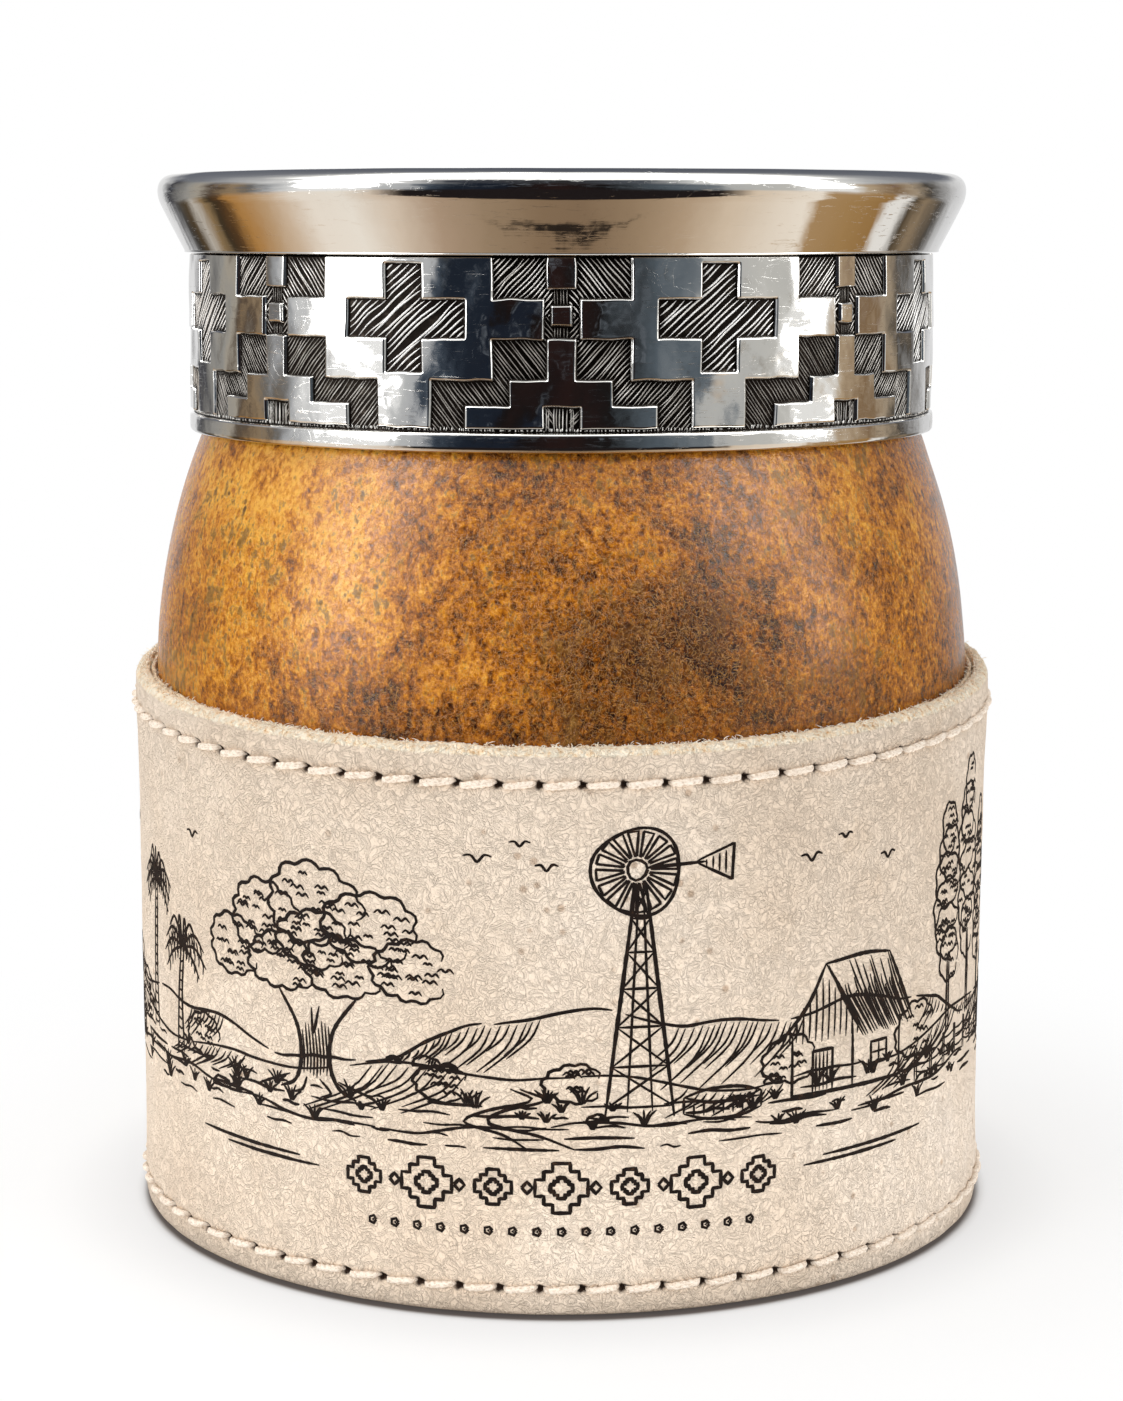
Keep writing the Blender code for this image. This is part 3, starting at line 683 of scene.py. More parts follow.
# %% The look of the band
band = new_look("chiselled_alpaca")
band_where = band.places()
colour, roughness, normal = polished(band, band_where, ALPACA, 0.04, 0.08, 0.00009)
soot = band.cloud(band_where, 900.0, 4.0, 0.65)
black = band.fade(band.kept("sunken") + (soot - 0.5) * 0.35, 0.35, 0.62)
ground = band.tones(soot, (0.0, 14, 11, 10), (0.55, 28, 24, 21), (1.0, 84, 76, 68))
grime = band.fade(band.cloud(band_where, 160.0, 5.0, 0.7), 0.56, 0.70)
colour = band.blend(grime * 0.5, colour, srgb(150, 138, 120))
band_look = band.surface(
    Base_Color=band.blend(black, colour, ground), Roughness=roughness + black * 0.38 + grime * 0.1,
    Metallic=1.0, Normal=band.bump(soot * black, 0.6, 0.00006, under=normal),
)
print("band look ready")

# %% The band's skin
RELIEF = BAND_HIGH_R - BAND_LOW_R
BESIDE = (0.05, 0.12, 0.26)
CLOSEST = 0.035
WIDEST = 0.75
FIRST_CROSS = MIDWAY * TURN / (REPEATS * COLUMNS)
BORDER_LINE = (
    (41.30, 90.12), (41.66, 90.09), (41.82, 90.01), (41.88, 89.86), (41.89, 89.66), (41.90, 89.2),
    (41.90, 88.75), (41.89, 88.5), (41.85, 88.33), (41.74, 88.18), (41.55, 88.11), (41.25, 88.1),
    (40.6, 88.1), (40.6, 97.0), (40.6, 107.5),
)
BORDER_FACE = 12


def lines_beside(cuts, low, high):
    """Grid lines beside each cut, and filling lines where two are far apart."""
    lines = {low, high}
    for cut in cuts:
        for offset in BESIDE:
            lines.update(v for v in (cut - offset, cut + offset) if low <= v <= high)
    lines = sorted(lines)
    kept = [lines[0]]
    for line in lines[1:]:
        last, gap = kept[-1], line - kept[-1]
        if gap >= CLOSEST:
            parts = max(1, math.ceil(gap / WIDEST))
            kept += [last + gap * part / parts for part in range(1, parts + 1)]
    return kept


def band_angle(x):
    return FIRST_CROSS + x / BAND_HIGH_R


def band_place(x, depth, lift):
    """Points of the band, with its slight belly, the chaser's dents and wandering lines."""
    angle = band_angle(x)
    dents = ripple(angle, depth, 31, 0.048, waves=16, turns=(12, 66), length=8.0)
    dents = dents + ripple(angle, depth, 34, 0.07, waves=5, turns=(4, 14), length=26.0)
    wander_x = ripple(angle, depth, 32, 0.055, waves=16, turns=(30, 90), length=7.0)
    wander_z = ripple(angle, depth, 33, 0.045, waves=16, turns=(30, 90), length=7.0)
    keep = smoothstep(depth, 0.0, 0.8) * (1 - smoothstep(depth, PATTERN_DEPTH - 0.3, PATTERN_DEPTH))
    belly = 0.13 * (1 - ((depth - 10.5) / 10.5) ** 2)
    radius = BAND_LOW_R - 0.10 + belly + lift + dents * (0.4 + 0.6 * lift / RELIEF)
    return on_cup(radius, angle + wander_x * keep / BAND_HIGH_R, BAND_TOP - depth + wander_z * keep)


one_repeat = np.array(lines_beside([c * COLUMN_WIDTH for c in cut_columns], 0.0, REPEAT_WIDTH)[:-1])
across = np.concatenate([one_repeat + repeat * REPEAT_WIDTH for repeat in range(REPEATS)])
grid_x, grid_d = np.meshgrid(across, lines_beside(cut_depths, 0.0, PATTERN_DEPTH), indexing="xy")
inward = edge_distance(grid_x, grid_d)
burr = 0.03 * np.exp(-(((inward - 0.05) / 0.04) ** 2))
pattern_part = band_place(grid_x, grid_d, RELIEF * smoothstep(inward, -0.09, 0.09) + burr)
border_r, _, border_z = spread(BORDER_LINE, 1)
angles = band_angle(across)
border_dents = ripple(angles, border_z, 35, 0.022, waves=9, turns=(9, 40), length=12.0)
border_part = on_cup(border_r + border_dents, angles, border_z)
border_black = np.zeros(border_part.shape[:2])
border_black[0] = 0.85
border_black[BORDER_FACE:] = 1.0


def bottom_up(border, pattern):
    """One skin from the inside of the border, round its face and up the pattern."""
    return np.concatenate([border[BORDER_FACE:][::-1], border[:BORDER_FACE][::-1], pattern[::-1]])


blackened = bottom_up(border_black, 1.0 - smoothstep(inward, -0.10, 0.03))
band_grid = bottom_up(border_part, pattern_part)
round_piece("chiselled_ring", "chiselled_band", band_grid, band_look, sunken=blackened)

# %% [markdown]
# ## Chisel marks
# The blackened ground isn't bare: the chaser filled it with fine slanting ridges whose tips are
# bright. They run in diamonds round each small square, coarser inside each cross, and upright in
# the notches. Here each ridge is a short path over the ground, cut off where it would meet a raised
# part. Geometry Nodes then gives every path its body: a bar that swells in the middle. How bright
# the tips look is painted into their colour, zone by zone: a painted highlight, brightest in the
# crosses and dimmest in the fans.


# %% Trees for Geometry Nodes
class Flow(Board):
    """A Geometry Nodes tree under construction, with named inputs."""

    def __init__(self, name, **inputs):
        self.tree = bpy.data.node_groups.new(name, "GeometryNodeTree")
        face = self.tree.interface
        for way in ("INPUT", "OUTPUT"):
            face.new_socket("Geometry", in_out=way, socket_type="NodeSocketGeometry")
        for title, kind in inputs.items():
            face.new_socket(title.replace("_", " "), in_out="INPUT", socket_type="NodeSocket" + kind)
        self.start = self.tree.nodes.new("NodeGroupInput")

    def given(self, title):
        return Wire(self, self.start.outputs[title])

    def finish(self, shape):
        shape = self.node("GeometryNodeRealizeInstances", None, {"Geometry": shape})
        shape = self.node("GeometryNodeSetShadeSmooth", None, {0: shape})
        values = {"Geometry": shape, "Material": self.given("Finish")}
        shape = self.node("GeometryNodeSetMaterial", None, values)
        self.node("NodeGroupOutput", None, {0: shape})


def run_flow(flow, carrier, name, node, **values):
    """Run a tree on a carrier object and keep its result as a plain mesh piece."""
    modifier = carrier.modifiers.new(name, "NODES")
    modifier.node_group = flow.tree
    for item in flow.tree.interface.items_tree:
        key = item.name.replace(" ", "_")
        if item.in_out == "INPUT" and key in values:
            modifier[item.identifier] = values[key]
    bpy.context.view_layer.update()
    evaluated = carrier.evaluated_get(bpy.context.evaluated_depsgraph_get())
    mesh = bpy.data.meshes.new_from_object(evaluated)
    bpy.data.objects.remove(carrier)
    mesh.name = name
    settle(add_object(name, mesh), node)


def path_carrier(name, paths, **attributes):
    """An object of loose paths (each a list of points in mm) for a tree to work on."""
    starts = np.cumsum([0] + [len(path) for path in paths])
    edges = [(i, i + 1) for a, b in zip(starts, starts[1:]) for i in range(a, b - 1)]
    return add_object(name, new_mesh(name, np.concatenate(paths), edges, **attributes))


swelling = Flow("swelling_bars", Sides="Int", Finish="Material")
bar = swelling.node("GeometryNodeMeshToCurve", None, {0: swelling.given("Geometry")})
along = swelling.node("GeometryNodeSplineParameter")
values = {"Name": "half_width"}
half_width = swelling.node("GeometryNodeInputNamedAttribute", {"data_type": "FLOAT"}, values)
swell = swelling.math("MAXIMUM", swelling.math("SINE", along * math.pi), 0.02) ** 0.4
sides = {"Resolution": swelling.given("Sides"), "Radius": 1.0}
ring = swelling.node("GeometryNodeCurvePrimitiveCircle", {"mode": "RADIUS"}, sides)
body = {"Curve": bar, "Profile Curve": ring, "Scale": half_width * swell, "Fill Caps": True}
swelling.finish(swelling.node("GeometryNodeCurveToMesh", None, body))
print("trees ready")

# %% Where the chisel went
SQUARE_X = MIDWAY * COLUMN_WIDTH
SQUARE_DEPTH = STEPS[1] + 1.62
FAN_HALF = 0.75
RIDGE_REACH = 24.0
chance = random.Random(41)


def zone_ground(side, below):
    """The ground to one side of a small square, above or below its middle."""
    def zone(x, depth):
        dx = x - SQUARE_X
        reach = (dx * side > FAN_HALF) & (np.abs(dx) < SQUARE_X - 0.7)
        return reach & ((depth > SQUARE_DEPTH) == below) & ~zone_cross(x, depth)
    return zone


def zone_fan(x, depth):
    return (np.abs(x - SQUARE_X) < FAN_HALF) & (depth < STEPS[2])


def zone_cross(x, depth):
    dx = np.abs((x + SQUARE_X) % REPEAT_WIDTH - SQUARE_X)
    return (dx < 1.5 * COLUMN_WIDTH) & (depth < STEPS[3] - 0.25)


def zone_notch(x, depth):
    return (np.abs(x - SQUARE_X) < 0.45 * COLUMN_WIDTH) & (depth > STEPS[4] - 0.2)


def zone_foot(x, depth):
    return depth > PATTERN_FOOT - 0.1


# zone, slant in degrees, distance apart, half width, gap left beside a raised part, painted tip highlight
ZONES = (
    (zone_ground(-1, False), 46, 0.42, 0.078, 0.12, 0.85),
    (zone_ground(1, False), 130, 0.44, 0.078, 0.12, 0.75),
    (zone_ground(-1, True), 128, 0.36, 0.062, 0.12, 0.45),
    (zone_ground(1, True), 48, 0.38, 0.070, 0.12, 0.6),
    (zone_fan, 90, 0.30, 0.050, 0.12, 0.4), (zone_cross, 40, 0.56, 0.105, 0.12, 1.1),
    (zone_notch, 90, 0.32, 0.065, 0.12, 0.7), (zone_foot, 84, 0.36, 0.070, 0.02, 0.9),
)


def ridge_runs(zone, slant, apart, gap, centre):
    """Start and end places (x, depth) of the ridges in one zone of one repeat."""
    direction = np.array((math.cos(math.radians(slant)), -math.sin(math.radians(slant))))
    sideways = np.array((-direction[1], direction[0]))
    steps = np.arange(-RIDGE_REACH, RIDGE_REACH, 0.08)
    offset = -RIDGE_REACH
    while offset < RIDGE_REACH:
        offset += apart * chance.uniform(0.90, 1.10)
        way = direction + chance.uniform(-0.025, 0.025) * sideways
        x = centre[0] + offset * sideways[0] + steps * way[0]
        depth = centre[1] + offset * sideways[1] + steps * way[1]
        free = zone(x, depth) & (edge_distance(x, depth) < -gap)
        free &= (depth > 0.06) & (depth < PATTERN_DEPTH - 0.04)
        free &= np.abs(x - centre[0]) <= 0.5 * REPEAT_WIDTH
        change = np.flatnonzero(np.diff(np.concatenate(([0], free.astype(int), [0]))))
        for first, last in zip(change[::2], change[1::2]):
            if last - first >= 3:
                yield np.array((x[first], depth[first])), np.array((x[last - 1], depth[last - 1]))


ridges = []
half_widths = []
painted_tip_lights = []
for repeat in range(REPEATS):
    for zone, slant, apart, half, gap, bright in ZONES:
        centre = (0.0 if zone is zone_cross else SQUARE_X, SQUARE_DEPTH)
        for start, end in list(ridge_runs(zone, slant, apart, gap, centre)):
            length = np.linalg.norm(end - start)
            share = np.linspace(0.0, 1.0, max(4, math.ceil(length / 0.9) + 1))
            bow = chance.uniform(-0.03, 0.03) * length
            side = np.array((end[1] - start[1], start[0] - end[0])) / max(length, 1e-6)
            flat = start + share[:, None] * (end - start) + np.outer(bow * np.sin(math.pi * share), side)
            lift = chance.uniform(0.02, 0.10)
            ridges.append(band_place(flat[:, 0] + repeat * REPEAT_WIDTH, flat[:, 1], lift))
            half_widths += [half * chance.uniform(0.8, 1.15)] * len(share)
            painted_tip_lights += [bright * chance.uniform(0.75, 1.0)] * len(share)
print("ridges:", len(ridges))

# %% The ridges' look and their bodies
marks = new_look("bright_chisel_marks")
worn = marks.cloud(marks.places(), 700.0, 3.0, 0.6)
# Painted highlight: each zone's ridges are lighter where their tips would catch more light, with a random
# variation on top.
colour = marks.tones(
    marks.kept("rubbed") + (worn - 0.5) * 0.6,
    (0.15, 64, 57, 51), (0.5, 172, 167, 160), (0.75, 246, 243, 238), (1.0, 255, 254, 252),
)
marks_look = marks.surface(
    Base_Color=colour, Roughness=marks.fade(worn, 0.3, 0.6, 0.48, 0.32), Metallic=0.35,
    Normal=marks.bump(worn, 0.5, 0.00004),
)
carrier = path_carrier("ridge_paths", ridges, half_width=np.array(half_widths) * MM, rubbed=painted_tip_lights)
run_flow(swelling, carrier, "chisel_marks", "chiselled_band", Sides=4, Finish=marks_look)

# %% [markdown]
# ## The calabash
# The body is a dried gourd, cured, rubbed down and varnished. Its skin is never one colour: amber
# clouds, brown blotches where mould once sat, and a fine fibrous speckle that shows through the
# varnish. The mottling is a few layers of noise at the sizes seen on the real skin, from four
# centimetres down to half a millimetre, and the gloss is a thin clear coat over a duller ground.

# %% The calabash's look
skin = new_look("varnished_calabash")
skin_where = skin.places()
slow = skin.cloud(skin_where, 24.0, 3.0, 0.55, 0.4)
patches = skin.cloud(skin.places(turn=(0.3, 0.8, 0.1)), 62.0, 6.0, 0.68, 0.6)
mottle = skin.cloud(skin_where, 190.0, 5.0, 0.72, 0.3)
fleck = skin.cloud(skin.places(scale=(1.0, 1.0, 0.62)), 900.0, 4.0, 0.7)
grit = skin.cloud(skin_where, 1900.0, 3.0, 0.7)


def near_spot(place, inner, outer):
    """1 near a place given in mm, fading to 0 between two distances."""
    values = {0: skin_where, 1: tuple(v * MM for v in place)}
    far = skin.node("ShaderNodeVectorMath", {"operation": "DISTANCE"}, values, output=1)
    return skin.fade(far, inner * MM, outer * MM, 1.0, 0.0)


# Painted light: the skin is made lighter and more golden on the left and right sides, where the softboxes'
# sheen falls, and a little at the front.
painted_side_light = near_spot((-33.0, -27.0, 79.0), 8.0, 34.0) + near_spot((9.0, -41.0, 81.0), 2.0, 13.0) * 0.3
painted_side_light = painted_side_light + near_spot((34.0, -27.0, 77.0), 5.0, 28.0) * 0.70
dark_spot = near_spot((4.5, -45.6, 65.5), 2.0, 14.0) + near_spot((8.5, -44.2, 71.0), 2.0, 11.0) * 0.8
dark_spot = dark_spot + near_spot((25.0, -35.0, 83.0), 2.0, 9.0) * 0.4
tone = slow * 0.60 + patches * 0.40 + (mottle - 0.5) * 0.90 + (fleck - 0.5) * 1.2
tone = tone + (grit - 0.5) * 0.85 - 0.015
# Painted shade: the skin low at the front, just above the sleeve, is made darker.
tone = tone + painted_side_light * 0.185 - near_spot((2.0, -45.9, 66.0), 6.0, 32.0) * 0.06
colour = skin.tones(
    tone, (0.20, 44, 20, 3), (0.35, 90, 46, 4), (0.46, 132, 72, 5), (0.56, 166, 96, 10),
    (0.69, 206, 132, 26), (0.86, 234, 172, 64),
)
mould = skin.cloud(skin.places(turn=(1.1, 0.2, 0.5)), 44.0, 8.0, 0.78, 0.8)
mould = mould + dark_spot * 0.10 + (fleck - 0.5) * 1.2 + (mottle - 0.5) * 0.7
mould = skin.fade(mould, 0.57, 0.73)
colour = skin.blend(mould * 0.78, colour, srgb(56, 31, 4))
curls = skin.line(skin.cloud(skin_where, 640.0, 2.0, 0.5, 2.4), 0.035)
fine_curls = skin.line(skin.cloud(skin_where, 1150.0, 2.0, 0.5, 2.0), 0.045)
colour = skin.blend(curls * 0.26 + fine_curls * 0.22, colour, srgb(224, 158, 62))
pores = skin.fade(skin.cells(skin_where, 640.0), 0.12, 0.26, 1.0, 0.0)
pores = pores * skin.fade(mottle, 0.47, 0.60)
colour = skin.blend(pores * 0.70, colour, srgb(46, 22, 3))
relief = fleck * 1.1 + grit * 0.6 + mottle * 0.8 + curls * 0.3 + fine_curls * 0.2 - pores * 0.3
gourd_look = skin.surface(
    Base_Color=colour, Roughness=0.21 + (mottle - 0.5) * 0.3 + mould * 0.06,
    Normal=skin.bump(relief, 0.9, 0.00006), Specular_IOR_Level=0.48,
    Coat_Weight=0.08, Coat_Roughness=0.20,
)
print("calabash look ready")

# %% The calabash's shape
BELLY_R = 46.1
BELLY_Z = 60.0
GOURD_FOOT_R = 15.0
GOURD_FOOT_Z = 5.8
SHOULDER_R = 40.4
NECK_R = 37.4
GOURD_TOP_Z = 105.3
BORE_R = 32.4
BORE_FOOT_Z = 91.3
CAVITY_R = 41.1
CAVITY_FOOT_Z = 10.8


def bowl_r(height, foot_z, belly_r):
    fall = (BELLY_Z - height) / (BELLY_Z - foot_z)
    return GOURD_FOOT_R + (belly_r - GOURD_FOOT_R) * np.sqrt(np.clip(1 - fall**2.6, 0.0, 1.0))


def shoulder_r(height, belly_r, end_r, end_z):
    rise = np.clip((height - BELLY_Z) / (end_z - BELLY_Z), 0.0, 1.0)
    return belly_r - (belly_r - end_r) * rise**2.1


def neck_r(height, thinnest):
    rise = (height - BAND_FOOT) / (GOURD_TOP_Z - BAND_FOOT)
    return thinnest + (SHOULDER_R - NECK_R) * (1 - rise) ** 2.4


quarter = np.linspace(0.0, 0.5 * math.pi, 40)
bowl_z = BELLY_Z - (BELLY_Z - GOURD_FOOT_Z) * np.cos(quarter)
shoulder_z = np.linspace(BELLY_Z, BAND_FOOT, 44)[1:]
neck_z = np.linspace(BAND_FOOT, GOURD_TOP_Z, 12)[1:]
cavity_z = np.linspace(BORE_FOOT_Z, BELLY_Z, 16)[1:]
low_z = BELLY_Z - (BELLY_Z - CAVITY_FOOT_Z) * np.cos(np.linspace(0.5 * math.pi, 0.0, 24))[1:]
gourd_line = np.vstack([
    np.stack([bowl_r(bowl_z, GOURD_FOOT_Z, BELLY_R), bowl_z], axis=1),
    np.stack([shoulder_r(shoulder_z, BELLY_R, SHOULDER_R, BAND_FOOT), shoulder_z], axis=1),
    np.stack([neck_r(neck_z, NECK_R), neck_z], axis=1),
    ((BORE_R, GOURD_TOP_Z), (BORE_R, BORE_FOOT_Z)),
    np.stack([shoulder_r(cavity_z, CAVITY_R, BORE_R, BORE_FOOT_Z), cavity_z], axis=1),
    np.stack([bowl_r(low_z, CAVITY_FOOT_Z, CAVITY_R), low_z], axis=1),
])
ring_r, angles, ring_z = spread(gourd_line, 300)
open_part = smoothstep(ring_z, 61.0, 68.0) * (1 - smoothstep(ring_z, 84.0, 88.0))
grown = ripple(angles, ring_z, 51, 0.10, waves=6, turns=(2, 5), length=60.0)
grown = grown + ripple(angles, ring_z, 52, 0.03, waves=8, turns=(8, 22), length=16.0)
gourd_grid = on_cup(ring_r + grown * open_part, angles, ring_z)
round_piece("calabash", "gourd_shell", gourd_grid, gourd_look, closed=False)

# %% [markdown]
# ## What holds the band to the neck
# Dark resin fills the space between the band and the narrow neck. It is hidden in a finished cup,
# but it is there when the funnel is looked into from a cut or an open side.

# %% The resin bedding
resin_look = one_cloud_look(
    "dark_resin", (700.0, 4.0, 0.6), ((0.3, 62, 50, 40), (0.7, 112, 92, 74)), (0.45, 0.7), (0.5, 0.0001)
)
RESIN_FOOT_Z = 95.9
resin_z = np.linspace(RESIN_FOOT_Z, GOURD_TOP_Z, 8)[::-1]
bedding_line = np.vstack([
    ((40.4, 107.5), (36.2, 107.5), (34.6, 105.5), (37.6, 105.5)),
    np.stack([neck_r(resin_z, NECK_R + 0.2), resin_z], axis=1),
    ((40.4, RESIN_FOOT_Z),),
])
round_piece("resin_bedding", "ferrule_bedding", on_cup(*spread(bedding_line, 192)), resin_look)

# %% [markdown]
# ## The leather's surface
# The sleeve is natural, undyed leather, cream with a matt, finely wrinkled grain. Everything that
# lies on it, such as thread and drawing, must follow it, so its shape is one rule: a function that
# gives the surface's place at any angle and height. It knows the sleeve's lean (its top edge sits
# lower at the front), its slight swell at the sewn rows, the pull of each stitch and its holes.

# %% One rule for the leather's surface
SLEEVE_R = 48.4
SLEEVE_INSIDE_R = 47.0
SLEEVE_FOOT_Z = 0.4
SLEEVE_TOP_Z = 61.9
SLEEVE_LEAN = 2.5
HEM_R = 0.7
BROW_R = 1.1
STITCHES = 72
PITCH = TURN / STITCHES
TOP_ROW_Z = 58.2
BOTTOM_ROW_Z = 3.3
SEWN_ROWS = (TOP_ROW_Z, BOTTOM_ROW_Z)


def leaned(height, angle):
    """The height once the sleeve's upper part is tipped towards the front."""
    share = np.interp(height, (12.3, 49.2, 57.0, 62.0), (0.0, 0.5, 1.0, 1.0))
    return height - share * SLEEVE_LEAN * np.cos(angle)


def hole_gap(angle, height, row_z):
    """Distance in mm from the nearest stitch hole: along the row, and across it."""
    along = ((angle / PITCH) % 1.0 - 0.5) * PITCH * SLEEVE_R
    return along, height - row_z + 0.12 * along


def leather_lift(angle, height):
    """How far the leather stands off its plain radius, in mm."""
    lift = ripple(angle, height, 61, 0.07, waves=7, turns=(3, 9), length=45.0)
    lift = lift + ripple(angle, height, 62, 0.022, waves=12, turns=(14, 60), length=9.0)
    for row_z in SEWN_ROWS:
        along, across = hole_gap(angle, height, row_z)
        lift = lift + 0.2 * np.exp(-(((height - row_z) / 5.5) ** 2))
        lift = lift - 0.16 * np.exp(-((across / 0.62) ** 2))
        lift = lift + 0.05 * np.cos(TURN * angle / PITCH) * np.exp(-((across / 1.5) ** 2))
        lift = lift - 0.75 * np.exp(-((along / 0.46) ** 2) - (across / 0.34) ** 2)
    return lift


def leather_hole(angle, height):
    """1 in a stitch hole, 0 away from it."""
    depth = 0.0
    for row_z in SEWN_ROWS:
        along, across = hole_gap(angle, height, row_z)
        star = 0.50 + 0.13 * np.cos(3 * np.arctan2(across, along + 1e-9))
        depth = np.maximum(depth, np.exp(-((np.hypot(along * 0.8, across * 1.15) / star) ** 2)))
    return depth


def on_leather(angle, height, lift):
    """Points on the outside of the sleeve, for heights before it leans."""
    return on_cup(SLEEVE_R + leather_lift(angle, height) + lift, angle, leaned(height, angle))


print("a hole lies", round(float(leather_lift(0.5 * PITCH, TOP_ROW_Z)), 2), "mm deep")

# %% The leather's look
hide = new_look("natural_leather")
hide_where = hide.places()
broad = hide.cloud(hide_where, 34.0, 5.0, 0.6)
grain = hide.cloud(hide_where, 1150.0, 3.0, 0.6)
turned = hide.places(turn=(0.7, 0.4, 0.2))
curls = hide.line(hide.cloud(turned, 560.0, 2.0, 0.5, 2.2), 0.055)
fine_curls = hide.line(hide.cloud(hide_where, 1050.0, 2.0, 0.5, 1.8), 0.065)
pores = hide.fade(hide.cells(hide_where, 1500.0), 0.18, 0.36)
colour = hide.tones(
    broad + (grain - 0.5) * 0.18,
    (0.26, 222, 200, 177), (0.45, 231, 211, 189), (0.62, 237, 219, 199), (0.80, 243, 228, 212),
)
colour = hide.blend(curls * 0.06, colour, srgb(250, 237, 222))
stain = hide.fade(hide.cloud(hide_where, 95.0, 6.0, 0.7), 0.56, 0.74)
colour = hide.blend(stain * 0.20, colour, srgb(198, 168, 132))
specks = hide.fade(hide.cells(hide_where, 330.0), 0.08, 0.17, 1.0, 0.0) * hide.fade(broad, 0.46, 0.58)
colour = hide.blend(specks * 0.55, colour, srgb(158, 122, 88))
raw = hide.kept("raw")
fibres = hide.cloud(hide_where, 1500.0, 4.0, 0.75)
raw_colour = hide.tones(
    fibres, (0.32, 204, 152, 98), (0.41, 250, 222, 184), (0.52, 255, 239, 214), (0.72, 255, 247, 228)
)
colour = hide.blend(hide.fade(raw + (fibres - 0.5) * 0.5, 0.30, 0.75), colour, raw_colour)
# Painted shade: the stitch holes and the hem's lowest edge are painted dark brown, for the shade that falls
# in the holes and under the rounded hem.
colour = hide.blend(hide.fade(hide.kept("pierced"), 0.14, 0.62), colour, srgb(52, 34, 22))
height = curls * 0.55 + fine_curls * 0.35 + grain * 0.6 + pores * 0.2 + fibres * raw * 1.4 - specks * 0.6
hide_look = hide.surface(
    Base_Color=colour, Roughness=0.74 + (grain - 0.5) * 0.2 + raw * 0.1,
    Normal=hide.bump(height, 1.0, 0.00020), Specular_IOR_Level=0.35,
)
print("leather look ready")

# %% [markdown]
# ## The sleeve
# A strip of leather is wrapped round and butted at the back, where no one looks. Its lower edge is
# rounded over, and its upper edge is left as the knife cut it, so it is rough and a little uneven.

# %% The sleeve's skin
SEAM = 0.25 / SLEEVE_R
SLEEVE_COLUMNS = 936
sewn_z = np.concatenate([np.arange(-1.4, 1.41, 0.2) + row_z for row_z in SEWN_ROWS])
face_z = np.concatenate([sewn_z, np.arange(5.7, 56.6, 1.7), [1.75, 59.9, 60.3, 60.7, 61.05]])
hem = arc((SLEEVE_R - HEM_R, SLEEVE_FOOT_Z + HEM_R), HEM_R, -90, -8, 6)
brow = arc((SLEEVE_R - BROW_R, SLEEVE_TOP_Z - BROW_R), BROW_R, 15, 90, 8)
outside_line = [*hem, *[(SLEEVE_R, z) for z in np.unique(np.round(face_z, 3))], *brow]
inside_z = (61.2, 58.0, 45.0, 30.0, 15.0, 5.0, 1.2)
inside_line = [(47.12, 61.85), (47.03, 61.65), *[(SLEEVE_INSIDE_R, z) for z in inside_z], (47.05, 0.45)]
line_r, _, line_z = spread(outside_line + inside_line, 1)
angles = np.linspace(-math.pi + SEAM, math.pi - SEAM, SLEEVE_COLUMNS + 1)
facing = np.zeros(line_r.shape)
facing[: len(outside_line)] = 1.0
at_brow = smoothstep(line_z, 60.7, 61.8)
turned_in = smoothstep(math.pi - SEAM - np.abs(angles), 0.0, 0.9 / SLEEVE_R)
lift = leather_lift(angles, line_z) * facing - 0.35 * (1 - turned_in) * facing
knife = ripple(angles, line_z, 65, 0.10, waves=12, turns=(6, 40), length=50.0)
knife = knife + ripple(angles, line_r * 3.0, 66, 0.06, waves=16, turns=(60, 260), length=6.0)
rough_edge = ripple(angles, line_z, 67, 0.05, waves=14, turns=(50, 240), length=4.0) * at_brow
sleeve_grid = on_cup(line_r + lift + rough_edge, angles, leaned(line_z, angles) + knife * at_brow)
rings, columns = sleeve_grid.shape[:2]
faces = skin_faces(rings, columns, wrap_rows=True, wrap_columns=False).tolist()
faces.append([ring * columns for ring in range(rings)])
faces.append([ring * columns + columns - 1 for ring in reversed(range(rings))])
# Painted shade: the lowest 0.8 mm of the leather's face, where the hem rounds under, is darkened.
painted_hem_shade = 0.34 * (1 - smoothstep(line_z, 0.42, 0.80)) * facing
pierced = np.maximum(leather_hole(angles, line_z) * facing, painted_hem_shade)
rawness = np.clip(smoothstep(line_z, 60.6, 61.5) + (1 - facing), 0.0, 1.0) + 0.5 * (1 - turned_in)
mesh_piece(
    "leather_wrap", "leather_sleeve", sleeve_grid, faces, hide_look,
    pierced=pierced, raw=np.clip(rawness, 0.0, 1.0),
)

# %% [markdown]
# ## Lining, base and padding
# A thinner leather lines the sleeve and shows as a second edge inside the first. Under the cup, a
# leather disc is turned up into a flange for the lower stitches, and felt packs the gourd's round
# foot so that it stands straight.

# %% The lining, the base and the felt
lining_look = one_cloud_look(
    "raw_thin_leather", (1300.0, 4.0, 0.75),
    ((0.30, 176, 138, 98), (0.5, 222, 198, 164), (0.7, 246, 234, 214)), (0.8, 0.95), (0.8, 0.0002),
)
LINING_LINE = (
    (46.3, 9.2), (46.8, 9.2), (46.8, 35.0), (46.8, 60.8), (46.76, 61.6), (46.6, 61.72), (46.42, 61.6),
    (46.32, 60.8), (46.3, 35.0),
)
ring_r, angles, ring_z = spread(LINING_LINE, 480)
frayed = ripple(angles, ring_z, 71, 0.09, waves=16, turns=(30, 150), length=9.0)
frayed = frayed * smoothstep(ring_z, 60.0, 61.6)
lining_grid = on_cup(ring_r, angles, leaned(ring_z, angles) + frayed)
round_piece("thin_lining", "sleeve_lining", lining_grid, lining_look)

